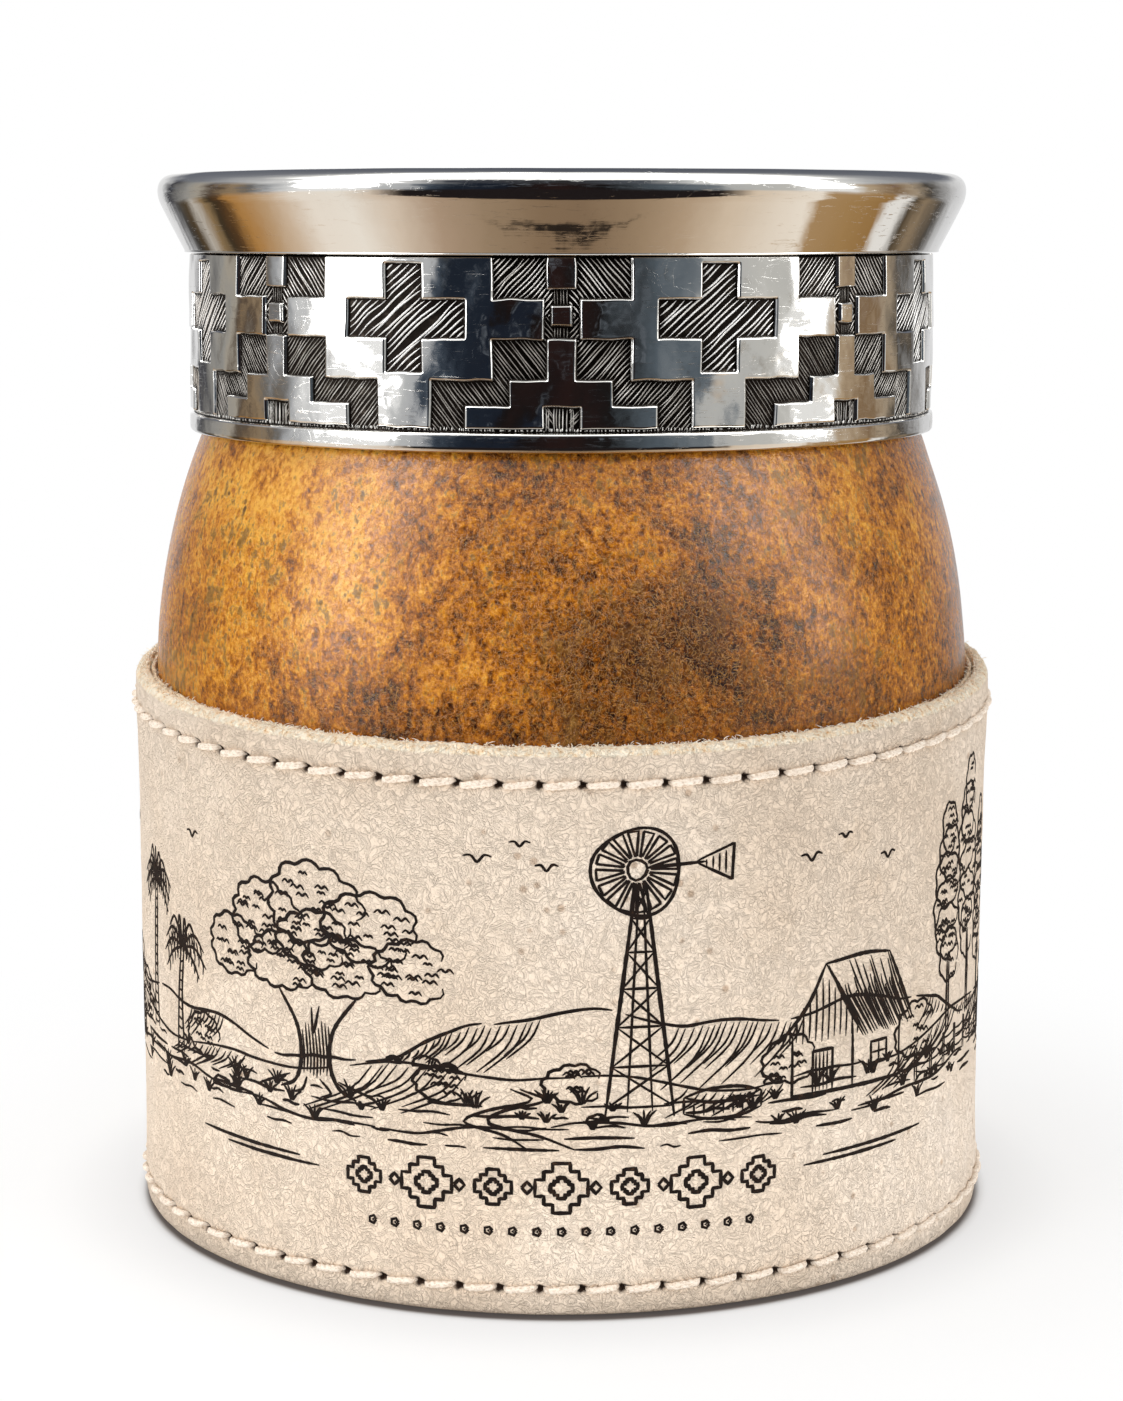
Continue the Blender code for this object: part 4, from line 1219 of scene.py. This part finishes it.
under = new_look("base_leather")
nap = under.cloud(under.places(), 800.0, 4.0, 0.7)
colour = under.tones(nap, (0.3, 188, 160, 128), (0.6, 218, 196, 166), (0.8, 230, 212, 186))
scuff = under.fade(under.cloud(under.places(), 70.0, 5.0, 0.7), 0.5, 0.7)
base_look = under.surface(
    Base_Color=under.blend(scuff * 0.4, colour, srgb(150, 124, 96)), Roughness=0.8 + scuff * 0.1,
    Normal=under.bump(nap, 0.5, 0.00015),
)
BASE_LINE = (
    (9.0, 0.0), (25.0, 0.0), (40.0, 0.0), (44.8, 0.0), *arc((45.8, 1.0), 1.0, -80, 0, 6), (46.8, 4.0),
    (46.8, 8.6), (46.65, 9.0), (45.35, 9.0), (45.2, 8.6), (45.2, 3.4), (44.6, 2.4), (40.0, 2.2),
    (9.0, 2.2),
)
round_piece("base_disc", "leather_base", on_cup(*spread(BASE_LINE, 240)), base_look, closed=False)

felt_look = one_cloud_look(
    "grey_felt", (1400.0, 4.0, 0.8, 1.0), ((0.3, 88, 78, 66), (0.7, 138, 126, 110)), (0.9, 1.0),
    (0.9, 0.0003), scale=(1.0, 1.0, 3.0),
)
FELT_LINE = ((6.0, 2.4), (33.4, 2.4), (33.9, 2.9), (34.0, 4.0), (33.8, 5.0), (33.3, 5.5), (6.0, 5.6))
ring_r, angles, ring_z = spread(FELT_LINE, 240)
pressed = np.minimum(ripple(angles, ring_z, 73, 0.12, turns=(5, 30), length=9.0), 0.0)
felt_grid = on_cup(ring_r + pressed, angles, ring_z)
round_piece("felt_pad", "seat_pad", felt_grid, felt_look, closed=False)

# %% [markdown]
# ## The sewn rows
# Two rows of waxed, two-ply thread hold the leather. Each stitch is a short bridge: it comes up out
# of one hole, lies on the leather and dives into the next, a little higher at its right end. One
# stitch is modelled as a twisted pair of strands, and Geometry Nodes set it round the row.


# %% One stitch of two-ply thread
def twisted_stitch(name, length, thick, twists, rise):
    """A stitch along X, seen from -Y, twisted from two strands and tapered into its holes."""
    stations = np.linspace(0.0, 1.0, 23)[:, None]
    circle = full_turn(10)
    bridge = np.abs(2 * stations - 1)
    out = 0.26 * (1 - bridge**2.2) - 0.66 * smoothstep(bridge, 0.82, 1.0)
    plies = 0.72 + 0.28 * np.abs(np.cos(circle - twists * TURN * stations)) ** 0.7
    around_r = thick * (1 - 0.36 * bridge**4) * plies
    x = (stations - 0.5) * length
    y = -(out + around_r * np.cos(circle))
    z = -around_r * np.sin(circle) + rise * (stations - 0.5)
    grid = np.stack(np.broadcast_arrays(x, y, z), axis=-1)
    rings, columns = grid.shape[:2]
    faces = skin_faces(rings, columns).tolist()
    faces.append(list(reversed(range(columns))))
    faces.append([(rings - 1) * columns + i for i in range(columns)])
    return add_object(name, new_mesh(name, grid, (), faces))


thread_look = one_cloud_look(
    "waxed_thread", (2600.0, 3.0, 0.7),
    ((0.32, 198, 176, 153), (0.5, 240, 224, 206), (0.72, 253, 243, 229)), (0.55, 0.75), (0.7, 0.00012),
    scale=(1.0, 1.0, 2.0),
)
sewing = Flow("sewn_row", Stitch="Object", Stitches="Int", Row_radius="Float", Row_height="Float",
              Lean="Float", Unevenness="Float", Seed="Int", Finish="Material")
knots = sewing.node("GeometryNodeMeshLine", {"mode": "OFFSET"}, {"Count": sewing.given("Stitches")})
turn = sewing.node("GeometryNodeInputIndex") / sewing.given("Stitches") * TURN
row_r = sewing.given("Row radius")
cosine = sewing.math("COSINE", turn)
row_z = sewing.given("Row height") - sewing.given("Lean") * cosine
values = {0: row_r * sewing.math("SINE", turn), 1: -1.0 * row_r * cosine, 2: row_z}
place = sewing.node("ShaderNodeCombineXYZ", None, values)
knots = sewing.node("GeometryNodeSetPosition", None, {"Geometry": knots, "Position": place})


def chance_between(low, high, seed):
    """A random number for each stitch."""
    values = {2: low, 3: high, "Seed": seed}
    return sewing.node("FunctionNodeRandomValue", {"data_type": "FLOAT"}, values, output=1)


tilt = chance_between(-1.0, 1.0, sewing.given("Seed")) * sewing.given("Unevenness")
way = sewing.node("ShaderNodeCombineXYZ", None, {1: tilt, 2: turn})
row = {
    "Points": knots,
    "Instance": sewing.node("GeometryNodeObjectInfo", None, {"Object": sewing.given("Stitch")}, output=4),
    "Rotation": sewing.node("FunctionNodeEulerToRotation", None, {0: way}),
    "Scale": chance_between(0.94, 1.06, sewing.given("Seed") + 7),
}
sewing.finish(sewing.node("GeometryNodeInstanceOnPoints", None, row))
print("sewing tree ready")

# %% Both rows
ROWS = (
    ("upper_stitches", TOP_ROW_Z, SLEEVE_LEAN, 5, "top_stitching"),
    ("lower_stitches", BOTTOM_ROW_Z, 0.0, 6, "bottom_stitching"),
)
for name, row_height, lean, seed, node in ROWS:
    stitch = twisted_stitch(name + "_one", 3.62, 0.41, 2.6, 0.34)
    carrier = add_object(name + "_row", bpy.data.meshes.new(name))
    run_flow(
        sewing, carrier, name, node, Stitch=stitch, Stitches=STITCHES, Row_radius=48.5 * MM,
        Row_height=row_height * MM, Lean=lean * MM, Unevenness=0.035, Seed=seed, Finish=thread_look,
    )
    bpy.data.objects.remove(stitch)

# %% [markdown]
# ## The engraved drawing
# A burning tool has drawn a line of countryside round the leather. The drawing here is a plain
# landscape of the plains made for this cup: a broad tree, a wind pump, a thatched hut, palms,
# fences and grass, over a row of stepped diamonds. It is drawn as a person would draw it, stroke by
# stroke on the flat strip: across in mm from the front, and up in mm from the table.

# %% Pens and strokes
SKETCH = []
hand = random.Random(81)


def pen(points, width=0.34, steps=5):
    """A curved stroke through points (across, up)."""
    SKETCH.append((smooth_line(points, steps), width))


def straight(*points, width=0.34):
    """A stroke of straight lines from point to point."""
    SKETCH.append((np.array(points, dtype=float), width))


def pens(x0, *rows):
    """Curved strokes, each a width and its points, with places across counted from x0."""
    for width, *points in rows:
        pen([(x0 + x, z) for x, z in points], width)


def straights(x0, *rows):
    """Strokes of straight lines, each a width and its points, counted from x0."""
    for width, *points in rows:
        straight(*[(x0 + x, z) for x, z in points], width=width)


def scallops(centre, size, bumps, start=0, end=360, depth=0.16, width=0.34):
    """The outline of a leafy clump: an oval whose edge goes in and out in small bumps."""
    turns = np.radians(np.linspace(start, end, bumps * 6 + 1))
    bump = np.abs(np.sin(np.linspace(0, bumps * math.pi, len(turns))))
    reach = 1 + depth * bump + 0.05 * np.sin(turns * 3 + hand.uniform(0, 6))
    oval = np.stack([np.cos(turns), np.sin(turns)], axis=1)
    SKETCH.append((np.multiply(size, reach[:, None]) * oval + centre, width))


def leaves(centre, size, count):
    """Small bent marks that fill a clump, thicker towards its shaded lower right."""
    for _ in range(count):
        turn = hand.uniform(0, TURN)
        reach = math.sqrt(hand.uniform(0.0, 0.85))
        x = centre[0] + size[0] * (reach * math.cos(turn) + 0.08)
        z = centre[1] + size[1] * (reach * math.sin(turn) - 0.08)
        wide = hand.uniform(0.5, 0.95)
        left, right = ((x + side * 0.5 * wide, z + 0.4 * wide) for side in (-1, 1))
        pen([(x - wide, z), left, (x, z + 0.05), right, (x + wide, z - 0.1)], 0.26, 3)


def clump(centre, size, bumps, marks, width=0.34):
    scallops(centre, size, bumps, start=hand.uniform(-30, 30), end=330, width=width)
    leaves(centre, size, marks)


def bushes(*rows):
    for x, z, wide, tall in rows:
        clump((x, z), (wide, tall), bumps=9, marks=9)


def grass(x, z, size, blades=5):
    for blade in range(blades):
        lean = (blade - 0.5 * (blades - 1)) * 0.34 * size + hand.uniform(-0.1, 0.1)
        tall = size * hand.uniform(0.7, 1.1)
        pen([(x + lean * 0.2, z), (x + lean * 0.55, z + 0.6 * tall), (x + lean * 1.2, z + tall)], 0.24, 3)


def hatching(x, end, top, bottom, apart, slant):
    """Short slanting shade lines between two heights, given as functions of the place across."""
    while x < end:
        high = top(x) - hand.uniform(0.1, 0.5)
        drop = (high - bottom(x)) * hand.uniform(0.45, 0.95)
        middle = (x - 0.3 * slant * drop, high - 0.5 * drop)
        pen([(x, high), middle, (x - slant * drop, high - drop)], 0.22, 3)
        x += apart * hand.uniform(0.7, 1.4)


def stone(x, z, size):
    """A field stone: a many-sided outline, a flat foot and a few shade lines on its right."""
    flat = []
    for turn in np.radians(np.arange(-10, 191, 25)):
        across = x + size * hand.uniform(0.85, 1.1) * math.cos(turn)
        flat.append((across, z + 0.62 * size * hand.uniform(0.8, 1.1) * math.sin(turn)))
    straight(*flat, (x + size, z - 0.05), width=0.30)
    for line in range(3):
        edge = x + size * (0.35 + 0.2 * line)
        pen([(edge, z + 0.42 * size), (edge - 0.1, z + 0.25 * size), (edge - 0.2, z + 0.05)], 0.22, 3)


print("pens ready")

# %% Hills, ground and stream
def hill_height(x):
    broad = 29.5 + 3.1 * math.sin(0.061 * x + 0.8)
    return broad + 1.5 * math.sin(0.15 * x + 2.0) + 0.5 * math.sin(0.43 * x)


def field_height(x):
    return 25.2 + 1.3 * math.sin(0.085 * x + 2.4) + 0.6 * math.sin(0.27 * x)


def ground_height(x):
    return 20.2 + 0.8 * math.sin(0.11 * x + 1.0) + 0.3 * math.sin(0.5 * x)


HORIZONS = ((hill_height, -112, 0.34), (field_height, -108, 0.28), (ground_height, -104, 0.30))
for rule, low, width in HORIZONS:
    x = low + hand.uniform(0, 3)
    while x < -low:
        reach = hand.uniform(9, 24)
        spots = [x + step * reach / 8 for step in range(9)]
        pen([(spot, rule(spot) + hand.uniform(-0.10, 0.10)) for spot in spots], width, 4)
        x += reach + hand.uniform(0.4, 2.4)
for x0, x1 in ((-96, -60), (-47, -40), (-18, -2), (12, 27), (46, 60), (70, 98)):
    hatching(x0, x1, hill_height, field_height, 0.72, 0.8)
for x0, x1 in ((-80, -60), (-50, -36), (-20, -9), (13, 24), (40, 54), (60, 92)):
    hatching(x0, x1, field_height, ground_height, 0.95, 1.5)
STONES = (
    (-14, field_height, 1.5), (-11.6, field_height, 1.0), (-17.5, field_height, 0.9),
    (22.6, field_height, 1.1), (-41, ground_height, 1.6), (-38.6, ground_height, 1.0),
    (3.6, ground_height, 1.1), (45, ground_height, 1.5), (47.6, ground_height, 0.9),
    (-60, field_height, 1.3), (-66, ground_height, 1.5), (68, ground_height, 1.4),
)
for x, rule, size in STONES:
    stone(x, rule(x) + 0.1, size)
for row in range(5):
    z = 22.9 - row * 1.15
    x = -100.0 + hand.uniform(0, 6)
    while x < 100:
        reach = hand.uniform(1.5, 8.0)
        middle = [(x + part * reach / 3, z + hand.uniform(-0.2, 0.2)) for part in (1, 2)]
        pen([(x, z), *middle, (x + reach, z - 0.1)], hand.choice((0.22, 0.26, 0.34)), 4)
        x += reach + hand.uniform(1.2, 6.0)
STREAM = (
    (-3.5, 3, 18.3), (-6, 2.2, 19.8), (-10, 1.6, 21.0), (-7.5, 1, 22.4), (-3.0, 0.8, 23.6),
    (-5.2, 0.6, 24.8),
)
for bank in (0.0, 1.6):
    pen([(x + bank * share, z) for x, share, z in STREAM])
for _ in range(80):
    x = hand.uniform(-98, 98)
    grass(x, hand.uniform(18.0, 23.5), hand.uniform(0.9, 1.9))
print("strokes so far", len(SKETCH))

# %% The broad tree and the palms
pens(
    0.0,
    (0.46, (-31.5, 22.2), (-29.4, 23.3), (-28.6, 26.0), (-29.2, 29.5), (-31.5, 33.0)),
    (0.46, (-21.8, 22.0), (-24.0, 23.2), (-25.0, 26.0), (-24.4, 29.5), (-21.5, 33.4)),
    (0.34, (-27.2, 31.5), (-27.0, 28.8), (-26.2, 31.8)),
)
for root in (-34.0, -29.0, -25.4, -20.2):
    pen([(-27 + 0.45 * (root + 27), 23.8), (root + 0.5, 22.4), (root - 0.8, 21.8)], 0.30)
for crack in range(9):
    x = -28.3 + crack * 0.42
    pen([(x, 23.6 + hand.uniform(0, 1)), (x + 0.1, 26.2), (x - 0.15, 28.8 + hand.uniform(0, 1.4))], 0.22)
CROWN = (
    (-38.2, 36.6, 4.0, 3.0), (-33.5, 40.4, 4.6, 3.6), (-27.0, 42.8, 5.4, 4.0), (-20.2, 41.0, 4.9, 3.5),
    (-15.6, 36.8, 3.9, 3.0), (-31.2, 36.0, 4.4, 2.8), (-23.0, 36.4, 4.8, 2.9), (-27.0, 39.0, 4.2, 2.8),
)
for x, z, wide, tall in CROWN:
    clump((x, z), (wide, tall), bumps=11, marks=17, width=0.36)


def palm(x, foot, height, fronds=11):
    top_x, top_z = x + 0.8, foot + height
    middle = foot + 0.5 * height
    pen([(x - 0.7, foot), (x - 0.35, middle), (top_x - 0.35, top_z)], 0.36)
    pen([(x + 0.8, foot), (x + 0.5, middle), (top_x + 0.35, top_z)], 0.36)
    for ring in range(int(height / 1.1)):
        z = foot + 0.6 + ring * 1.1
        pen([(x - 0.55 + 0.05 * ring, z), (x + 0.05 * ring, z - 0.25), (x + 0.6 + 0.03 * ring, z)], 0.22, 3)
    for frond in range(fronds):
        turn = math.radians(-28 + frond * 236 / (fronds - 1))
        reach = hand.uniform(4.2, 5.4)
        cosine, sine = math.cos(turn), math.sin(turn)
        tip = (top_x + reach * cosine, top_z + 0.75 * reach * sine - 1.3)
        pen([(top_x, top_z), (top_x + 0.55 * reach * cosine, top_z + 0.62 * reach * sine + 0.5), tip])
        for leaf in range(1, 6):
            share = leaf / 6
            x0 = top_x + (tip[0] - top_x) * share
            z0 = top_z + (tip[1] - top_z) * share + 1.1 * math.sin(math.pi * share)
            pen([(x0, z0), (x0 + 0.3, z0 - 0.7), (x0 + 0.2, z0 - 1.5)], 0.22, 3)


palm(-57.5, 23.0, 17.0)
palm(-49.8, 22.0, 12.0, fronds=10)
palm(-88.0, 23.5, 14.0)
bushes(
    (-44.5, 25.2, 3.0, 2.2), (-62.5, 25.6, 3.4, 2.6), (-12.4, 25.0, 2.6, 1.8), (-69.0, 27.2, 4.4, 3.2),
    (-76.0, 26.0, 3.4, 2.6), (-96.0, 26.0, 4.2, 3.4),
)
print("strokes so far", len(SKETCH))

# %% The wind pump and its tank
PUMP_X, PUMP_FOOT, PUMP_TOP = 8.0, 21.5, 46.8
for side in (-1, 1):
    straights(
        PUMP_X,
        (0.40, (side * 3.6, PUMP_FOOT), (side * 0.5, PUMP_TOP)),
        (0.26, (side * 1.3, PUMP_FOOT + 0.7), (side * 0.2, PUMP_TOP)),
    )
for bay in range(6):
    low, high = (1 - (1 - b / 6) ** 1.15 for b in (bay, bay + 1))
    z0, z1 = (PUMP_FOOT + 1.2 + (PUMP_TOP - PUMP_FOOT - 2.0) * b for b in (low, high))
    w0, w1 = (3.6 - 3.1 * (z - PUMP_FOOT) / (PUMP_TOP - PUMP_FOOT) for z in (z0, z1))
    straights(PUMP_X, (0.28, (-w0, z0), (w0, z0)), (0.24, (-w0, z0), (w1, z1)), (0.24, (w0, z0), (-w1, z1)))
WHEEL_X, WHEEL_Z = PUMP_X - 0.4, PUMP_TOP + 1.4
for reach, width in ((1.1, 0.30), (4.9, 0.34)):
    scallops((WHEEL_X, WHEEL_Z), (reach * 0.92, reach), 14, depth=0.0, width=width)
HALF_BLADE = math.radians(7.5)
for blade in range(16):
    turn = math.radians(blade * 22.5 + 6)
    corners = ((1.5, -0.5), (4.55, -1.0), (4.55, 1.0), (1.5, 0.5))
    corners = [(r, turn + share * HALF_BLADE) for r, share in corners]
    flat = [(WHEEL_X + 0.92 * r * math.cos(a), WHEEL_Z + r * math.sin(a)) for r, a in corners]
    straight(*flat, flat[0], width=0.26)
straights(
    WHEEL_X,
    (0.34, (1.0, WHEEL_Z + 0.2), (7.2, WHEEL_Z + 0.5)),
    (0.34, (6.2, WHEEL_Z + 0.6), (10.2, WHEEL_Z + 2.4), (10.0, WHEEL_Z - 1.6), (6.2, WHEEL_Z + 0.4)),
)
for line in range(4):
    x = WHEEL_X + 7.2 + line * 0.7
    straight((x, WHEEL_Z + 0.7 + 0.3 * line), (x, WHEEL_Z - 0.3 * line), width=0.22)
for z, bulge in ((21.6, -0.7), (23.4, -0.7), (23.4, 0.7)):
    pen([(12.6, z), (15.2, z + bulge), (18.6, z + bulge), (21.2, z)])
for x in (12.6, 21.2):
    straight((x, 21.6), (x, 23.4))
for stave in range(1, 8):
    x = 12.6 + stave * 1.08
    straight((x, 21.3), (x, 22.8), width=0.22)

# %% The hut, the fences and the slender trees
HUT_X, HUT_FOOT = 32.5, 22.0
straights(
    HUT_X,
    (0.40, (-7.6, 28.6), (-7.6, HUT_FOOT), (7.8, HUT_FOOT - 0.3), (7.8, 28.4)),
    (0.34, (0.4, 28.8), (0.4, HUT_FOOT - 0.1)),
)
pens(
    HUT_X,
    (0.42, (-9.4, 28.0), (-6.0, 31.4), (-3.4, 36.0)), (0.42, (1.9, 27.8), (-0.4, 31.4), (-3.4, 36.0)),
    (0.42, (-3.4, 36.0), (2.0, 36.3), (6.0, 35.8)), (0.42, (6.0, 35.8), (8.0, 32.0), (10.2, 27.8)),
)
for straw in range(24):
    share = straw / 23
    x0, z0 = HUT_X - 3.2 + 9.2 * share, 36.0 + 0.2 * math.sin(math.pi * share)
    x1, z1 = HUT_X + 2.0 + 8.2 * share, 27.6 + hand.uniform(-0.5, 0.2)
    cut = hand.uniform(0.0, 0.5)
    start = (x0 + (x1 - x0) * cut, z0 + (z1 - z0) * cut)
    pen([start, (0.5 * (x0 + x1) - 0.3, 0.5 * (z0 + z1)), (x1, z1)], 0.24, 3)
for straw in range(13):
    x = HUT_X - 8.8 + straw * 0.82
    roof = 28.2 + (1 - abs(x - HUT_X + 3.6) / 5.6) * 6.6
    pen([(x, 27.9 + hand.uniform(-0.4, 0.1)), (x + 0.1, 0.5 * (roof + 28)), (x + 0.05, roof)], 0.22, 3)
straights(HUT_X, (0.34, (-5.0, HUT_FOOT), (-5.0, 26.6), (-2.4, 26.6), (-2.4, HUT_FOOT)))
for plank in range(4):
    x = HUT_X - 4.6 + plank * 0.5
    straight((x, HUT_FOOT + 0.2), (x, 26.4), width=0.22)
straights(
    HUT_X,
    (0.32, (3.2, 23.8), (3.2, 26.2), (5.6, 26.2), (5.6, 23.8), (3.2, 23.8)),
    (0.24, (4.4, 23.8), (4.4, 26.2)),
    (0.24, (3.2, 25.0), (5.6, 25.0)),
)


def fence(x0, x1):
    posts = max(2, round((x1 - x0) / 3.4))
    tops = []
    for post in range(posts + 1):
        x = x0 + (x1 - x0) * post / posts
        z = ground_height(x) + hand.uniform(-0.2, 0.2)
        tall = hand.uniform(3.2, 3.8)
        straight((x - 0.2, z), (x - 0.15, z + tall), (x + 0.25, z + tall - 0.1), (x + 0.25, z), width=0.26)
        tops.append((x, z + tall - 0.6))
    for wire in (0.0, 1.0, 2.0):
        for (xa, za), (xb, zb) in zip(tops, tops[1:]):
            sag = (0.5 * (xa + xb), 0.5 * (za + zb) - wire - 0.18)
            pen([(xa, za - wire), sag, (xb, zb - wire)], 0.22, 3)


for x0, x1 in ((43.5, 66.0), (-84.0, -64.5), (74.0, 98.0)):
    fence(x0, x1)


def slender_tree(x, foot, height):
    straight((x, foot), (x + 0.15, foot + 0.35 * height), width=0.42)
    straight((x + 0.7, foot), (x + 0.6, foot + 0.35 * height))
    for level in range(6):
        share = level / 5
        wide = 1.5 + 1.7 * math.sin(math.pi * (0.18 + 0.78 * share))
        centre = (x + 0.3 + hand.uniform(-0.6, 0.6), foot + height * (0.36 + 0.60 * share))
        clump(centre, (wide, 0.085 * height + 0.7), bumps=7, marks=8)


SLENDER_TREES = (
    (50.5, 24.0, 24.0), (57.0, 24.6, 27.5), (63.2, 24.2, 22.0), (80.0, 24.6, 25.0),
    (87.0, 24.2, 21.0),
)
for x, foot, height in SLENDER_TREES:
    slender_tree(x, foot, height)
bushes(
    (24.6, 26.2, 3.0, 2.4), (43.6, 26.0, 3.6, 2.8), (70.0, 26.2, 4.0, 3.0), (96.0, 26.4, 4.0, 3.2),
    (1.2, 25.4, 2.8, 1.9),
)
BIRDS = (
    (-8.5, 49.0, 1.5), (-4.2, 51.0, 1.1), (-1.5, 48.2, 1.2), (27.0, 47.5, 1.4), (31.5, 49.4, 1.0),
    (38.0, 46.2, 1.2), (-46.0, 47.0, 1.2), (-70.0, 44.0, 1.3),
)
WINGS = ((-1, 0.45), (-0.45, 0.5), (0, 0), (0.5, 0.55), (1, 0.4))
for x, z, size in BIRDS:
    pen([(x + across * size, z + up * size) for across, up in WINGS], 0.28)
print("strokes so far", len(SKETCH))

# %% The row of stepped diamonds between two tapered rules
ROW_Z = 14.1
QUARTERS = ((1, 1, 1), (-1, 1, -1), (-1, -1, 1), (1, -1, -1))
CORNER_STEPS = ((3, 0), (3, 1), (2, 1), (2, 2), (1, 2), (1, 3))


def stepped_diamond(x, size, width):
    """A diamond with stepped sides, as woven belts have."""
    unit = size / 3.0
    outline = [(sx * a, sz * b) for sx, sz, order in QUARTERS for a, b in CORNER_STEPS[::order]]
    flat = [(x + a * unit, ROW_Z + b * unit) for a, b in outline]
    straight(*flat, flat[0], width=width)


for place in range(-3, 4):
    tall = 2.7 if place % 2 == 0 else 1.9
    stepped_diamond(place * 7.0, tall, 0.36)
    stepped_diamond(place * 7.0, 0.42 * tall, 0.42)
for place in (-2.5, -1.5, -0.5, 0.5, 1.5, 2.5):
    straights(place * 7.0, (0.34, (-0.55, 14.1), (0, 14.75), (0.55, 14.1), (0, 13.45), (-0.55, 14.1)))
for side in (-1, 1):
    for x0, x1, rise in ((26.5, 40.0, 0.0), (29.0, 44.5, 0.75)):
        middle = (side * 0.5 * (x0 + x1), 14.25 + rise)
        pen([(side * x0, 14.2 + rise), middle, (side * x1, 14.3 + rise)], 0.36)
for place in range(-8, 9):
    for reach in (0.42, 0.14):
        scallops((place * 2.5, 9.4), (reach, reach), 5, depth=0.0, width=0.30)
print("strokes in all", len(SKETCH))

# %% [markdown]
# Each stroke now becomes a thin body that lies in the leather's face. It is resampled at even steps
# of about 0.6 mm, its width swells and tapers like a real tool's mark, and its four corners at each
# step are laid on the sleeve by the same rule that made the sleeve, so no line floats or sinks.

# %% Strokes laid on the leather
ink_look = one_cloud_look(
    "burnt_lines", (1600.0, 3.0, 0.7), ((0.30, 16, 11, 9), (0.58, 28, 19, 15), (0.78, 70, 50, 36)),
    (0.6, 0.85), (0.4, 0.00006), Specular_IOR_Level=0.15,
)


def evenly(points, apart):
    """The same line with points an even distance apart, never cutting a corner by much."""
    reach = np.concatenate([[0.0], np.cumsum(np.hypot(*np.diff(points, axis=0).T))])
    stations = max(3, math.ceil(reach[-1] / apart) + 1)
    own_points = reach if len(reach) < 26 else []
    along = np.unique(np.concatenate([np.linspace(0, reach[-1], stations), own_points]))
    along = along[np.concatenate([[True], np.diff(along) > 0.05])]
    return np.stack([np.interp(along, reach, points[:, 0]), np.interp(along, reach, points[:, 1])], axis=1)


INK_LIFT = 0.035
INK_DEPTH = -0.06
ink_points = []
ink_faces = []
count = 0
for points, width in SKETCH:
    line = evenly(points, 0.62)
    if len(line) < 3:
        continue
    way = np.gradient(line, axis=0)
    way /= np.maximum(np.hypot(way[:, :1], way[:, 1:]), 1e-9)
    left = np.stack([-way[:, 1], way[:, 0]], axis=1)
    share = np.linspace(0.0, 1.0, len(line))
    closed_line = np.hypot(*(line[0] - line[-1])) < 0.2
    taper = np.ones(len(line)) if closed_line else 0.35 + 0.65 * np.sin(math.pi * share) ** 0.45
    half = 0.5 * width * 1.12 * taper * np.array([hand.uniform(0.85, 1.15) for _ in line])
    over = line + left * half[:, None]
    under = line - left * half[:, None]
    corners = ((over, INK_LIFT), (under, INK_LIFT), (under, INK_DEPTH), (over, INK_DEPTH))
    body = [on_leather(flat[:, 0] / SLEEVE_R, flat[:, 1], lift) for flat, lift in corners]
    ink_points.append(np.stack(body, axis=1).reshape(-1, 3))
    ink_faces += skin_faces(len(line), 4, start=count).tolist()
    ink_faces.append([count + 3, count + 2, count + 1, count])
    last = count + 4 * (len(line) - 1)
    ink_faces.append([last, last + 1, last + 2, last + 3])
    count += 4 * len(line)
mesh_piece("burnt_drawing", "leather_sleeve", np.concatenate(ink_points), ink_faces, ink_look, smooth=False)

# %% [markdown]
# ## The raw edge's fibres
# Where a knife has cut leather, its fibres stand up. Geometry Nodes give thousands of tiny bent
# hairs along both cut edges their bodies; each is a short path that swells as the chisel marks do.

# %% Fibres on the cut edges
HAIRS = 5000
HAIR_SHARES = np.array((0.0, 0.45, 0.8, 1.0))
fibre_board = new_look("pale_fibres")
pale = fibre_board.cloud(fibre_board.places(), 900.0, 2.0, 0.6)
colour = fibre_board.tones(pale, (0.35, 250, 232, 204), (0.6, 255, 250, 236))
fibre_look = fibre_board.surface(Base_Color=colour, Roughness=0.8, Specular_IOR_Level=0.2)
hairs = []
hair_widths = []
for _ in range(HAIRS):
    turn = hand.uniform(-math.pi, math.pi)
    outer = hand.random() < 0.62
    radius = hand.uniform(47.05, 48.2) if outer else hand.uniform(46.35, 46.8)
    foot_z = 60.8 + math.sqrt(1.21 - max(radius - 47.3, 0.0) ** 2) if outer else 61.6
    base = foot_z - SLEEVE_LEAN * math.cos(turn)
    length = hand.uniform(0.15, 0.5) + 0.55 * hand.random() ** 5
    lean_out = hand.uniform(-0.8, 0.8)
    lean_side = hand.uniform(-1.1, 1.1)
    rise = length * HAIR_SHARES * (1 - 0.45 * HAIR_SHARES)
    drift = length * HAIR_SHARES**1.6
    hairs.append(on_cup(radius + lean_out * drift, turn + lean_side * drift / radius, base - 0.12 + rise))
    hair_widths += [hand.uniform(0.03, 0.062)] * len(HAIR_SHARES)
carrier = path_carrier("fibre_paths", hairs, half_width=np.array(hair_widths) * MM)
run_flow(swelling, carrier, "edge_fibres", "sleeve_lining", Sides=3, Finish=fibre_look)

# %% [markdown]
# ## The last check
# ## The dressed size
# The dressed cup's box is printed in millimetres, beside the solids' box printed at the start.

# %% Sizes and finish
dressed_box = [list(corner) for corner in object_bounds()]
print("dressed box in mm:", [[round(v / MM, 2) for v in corner] for corner in dressed_box])
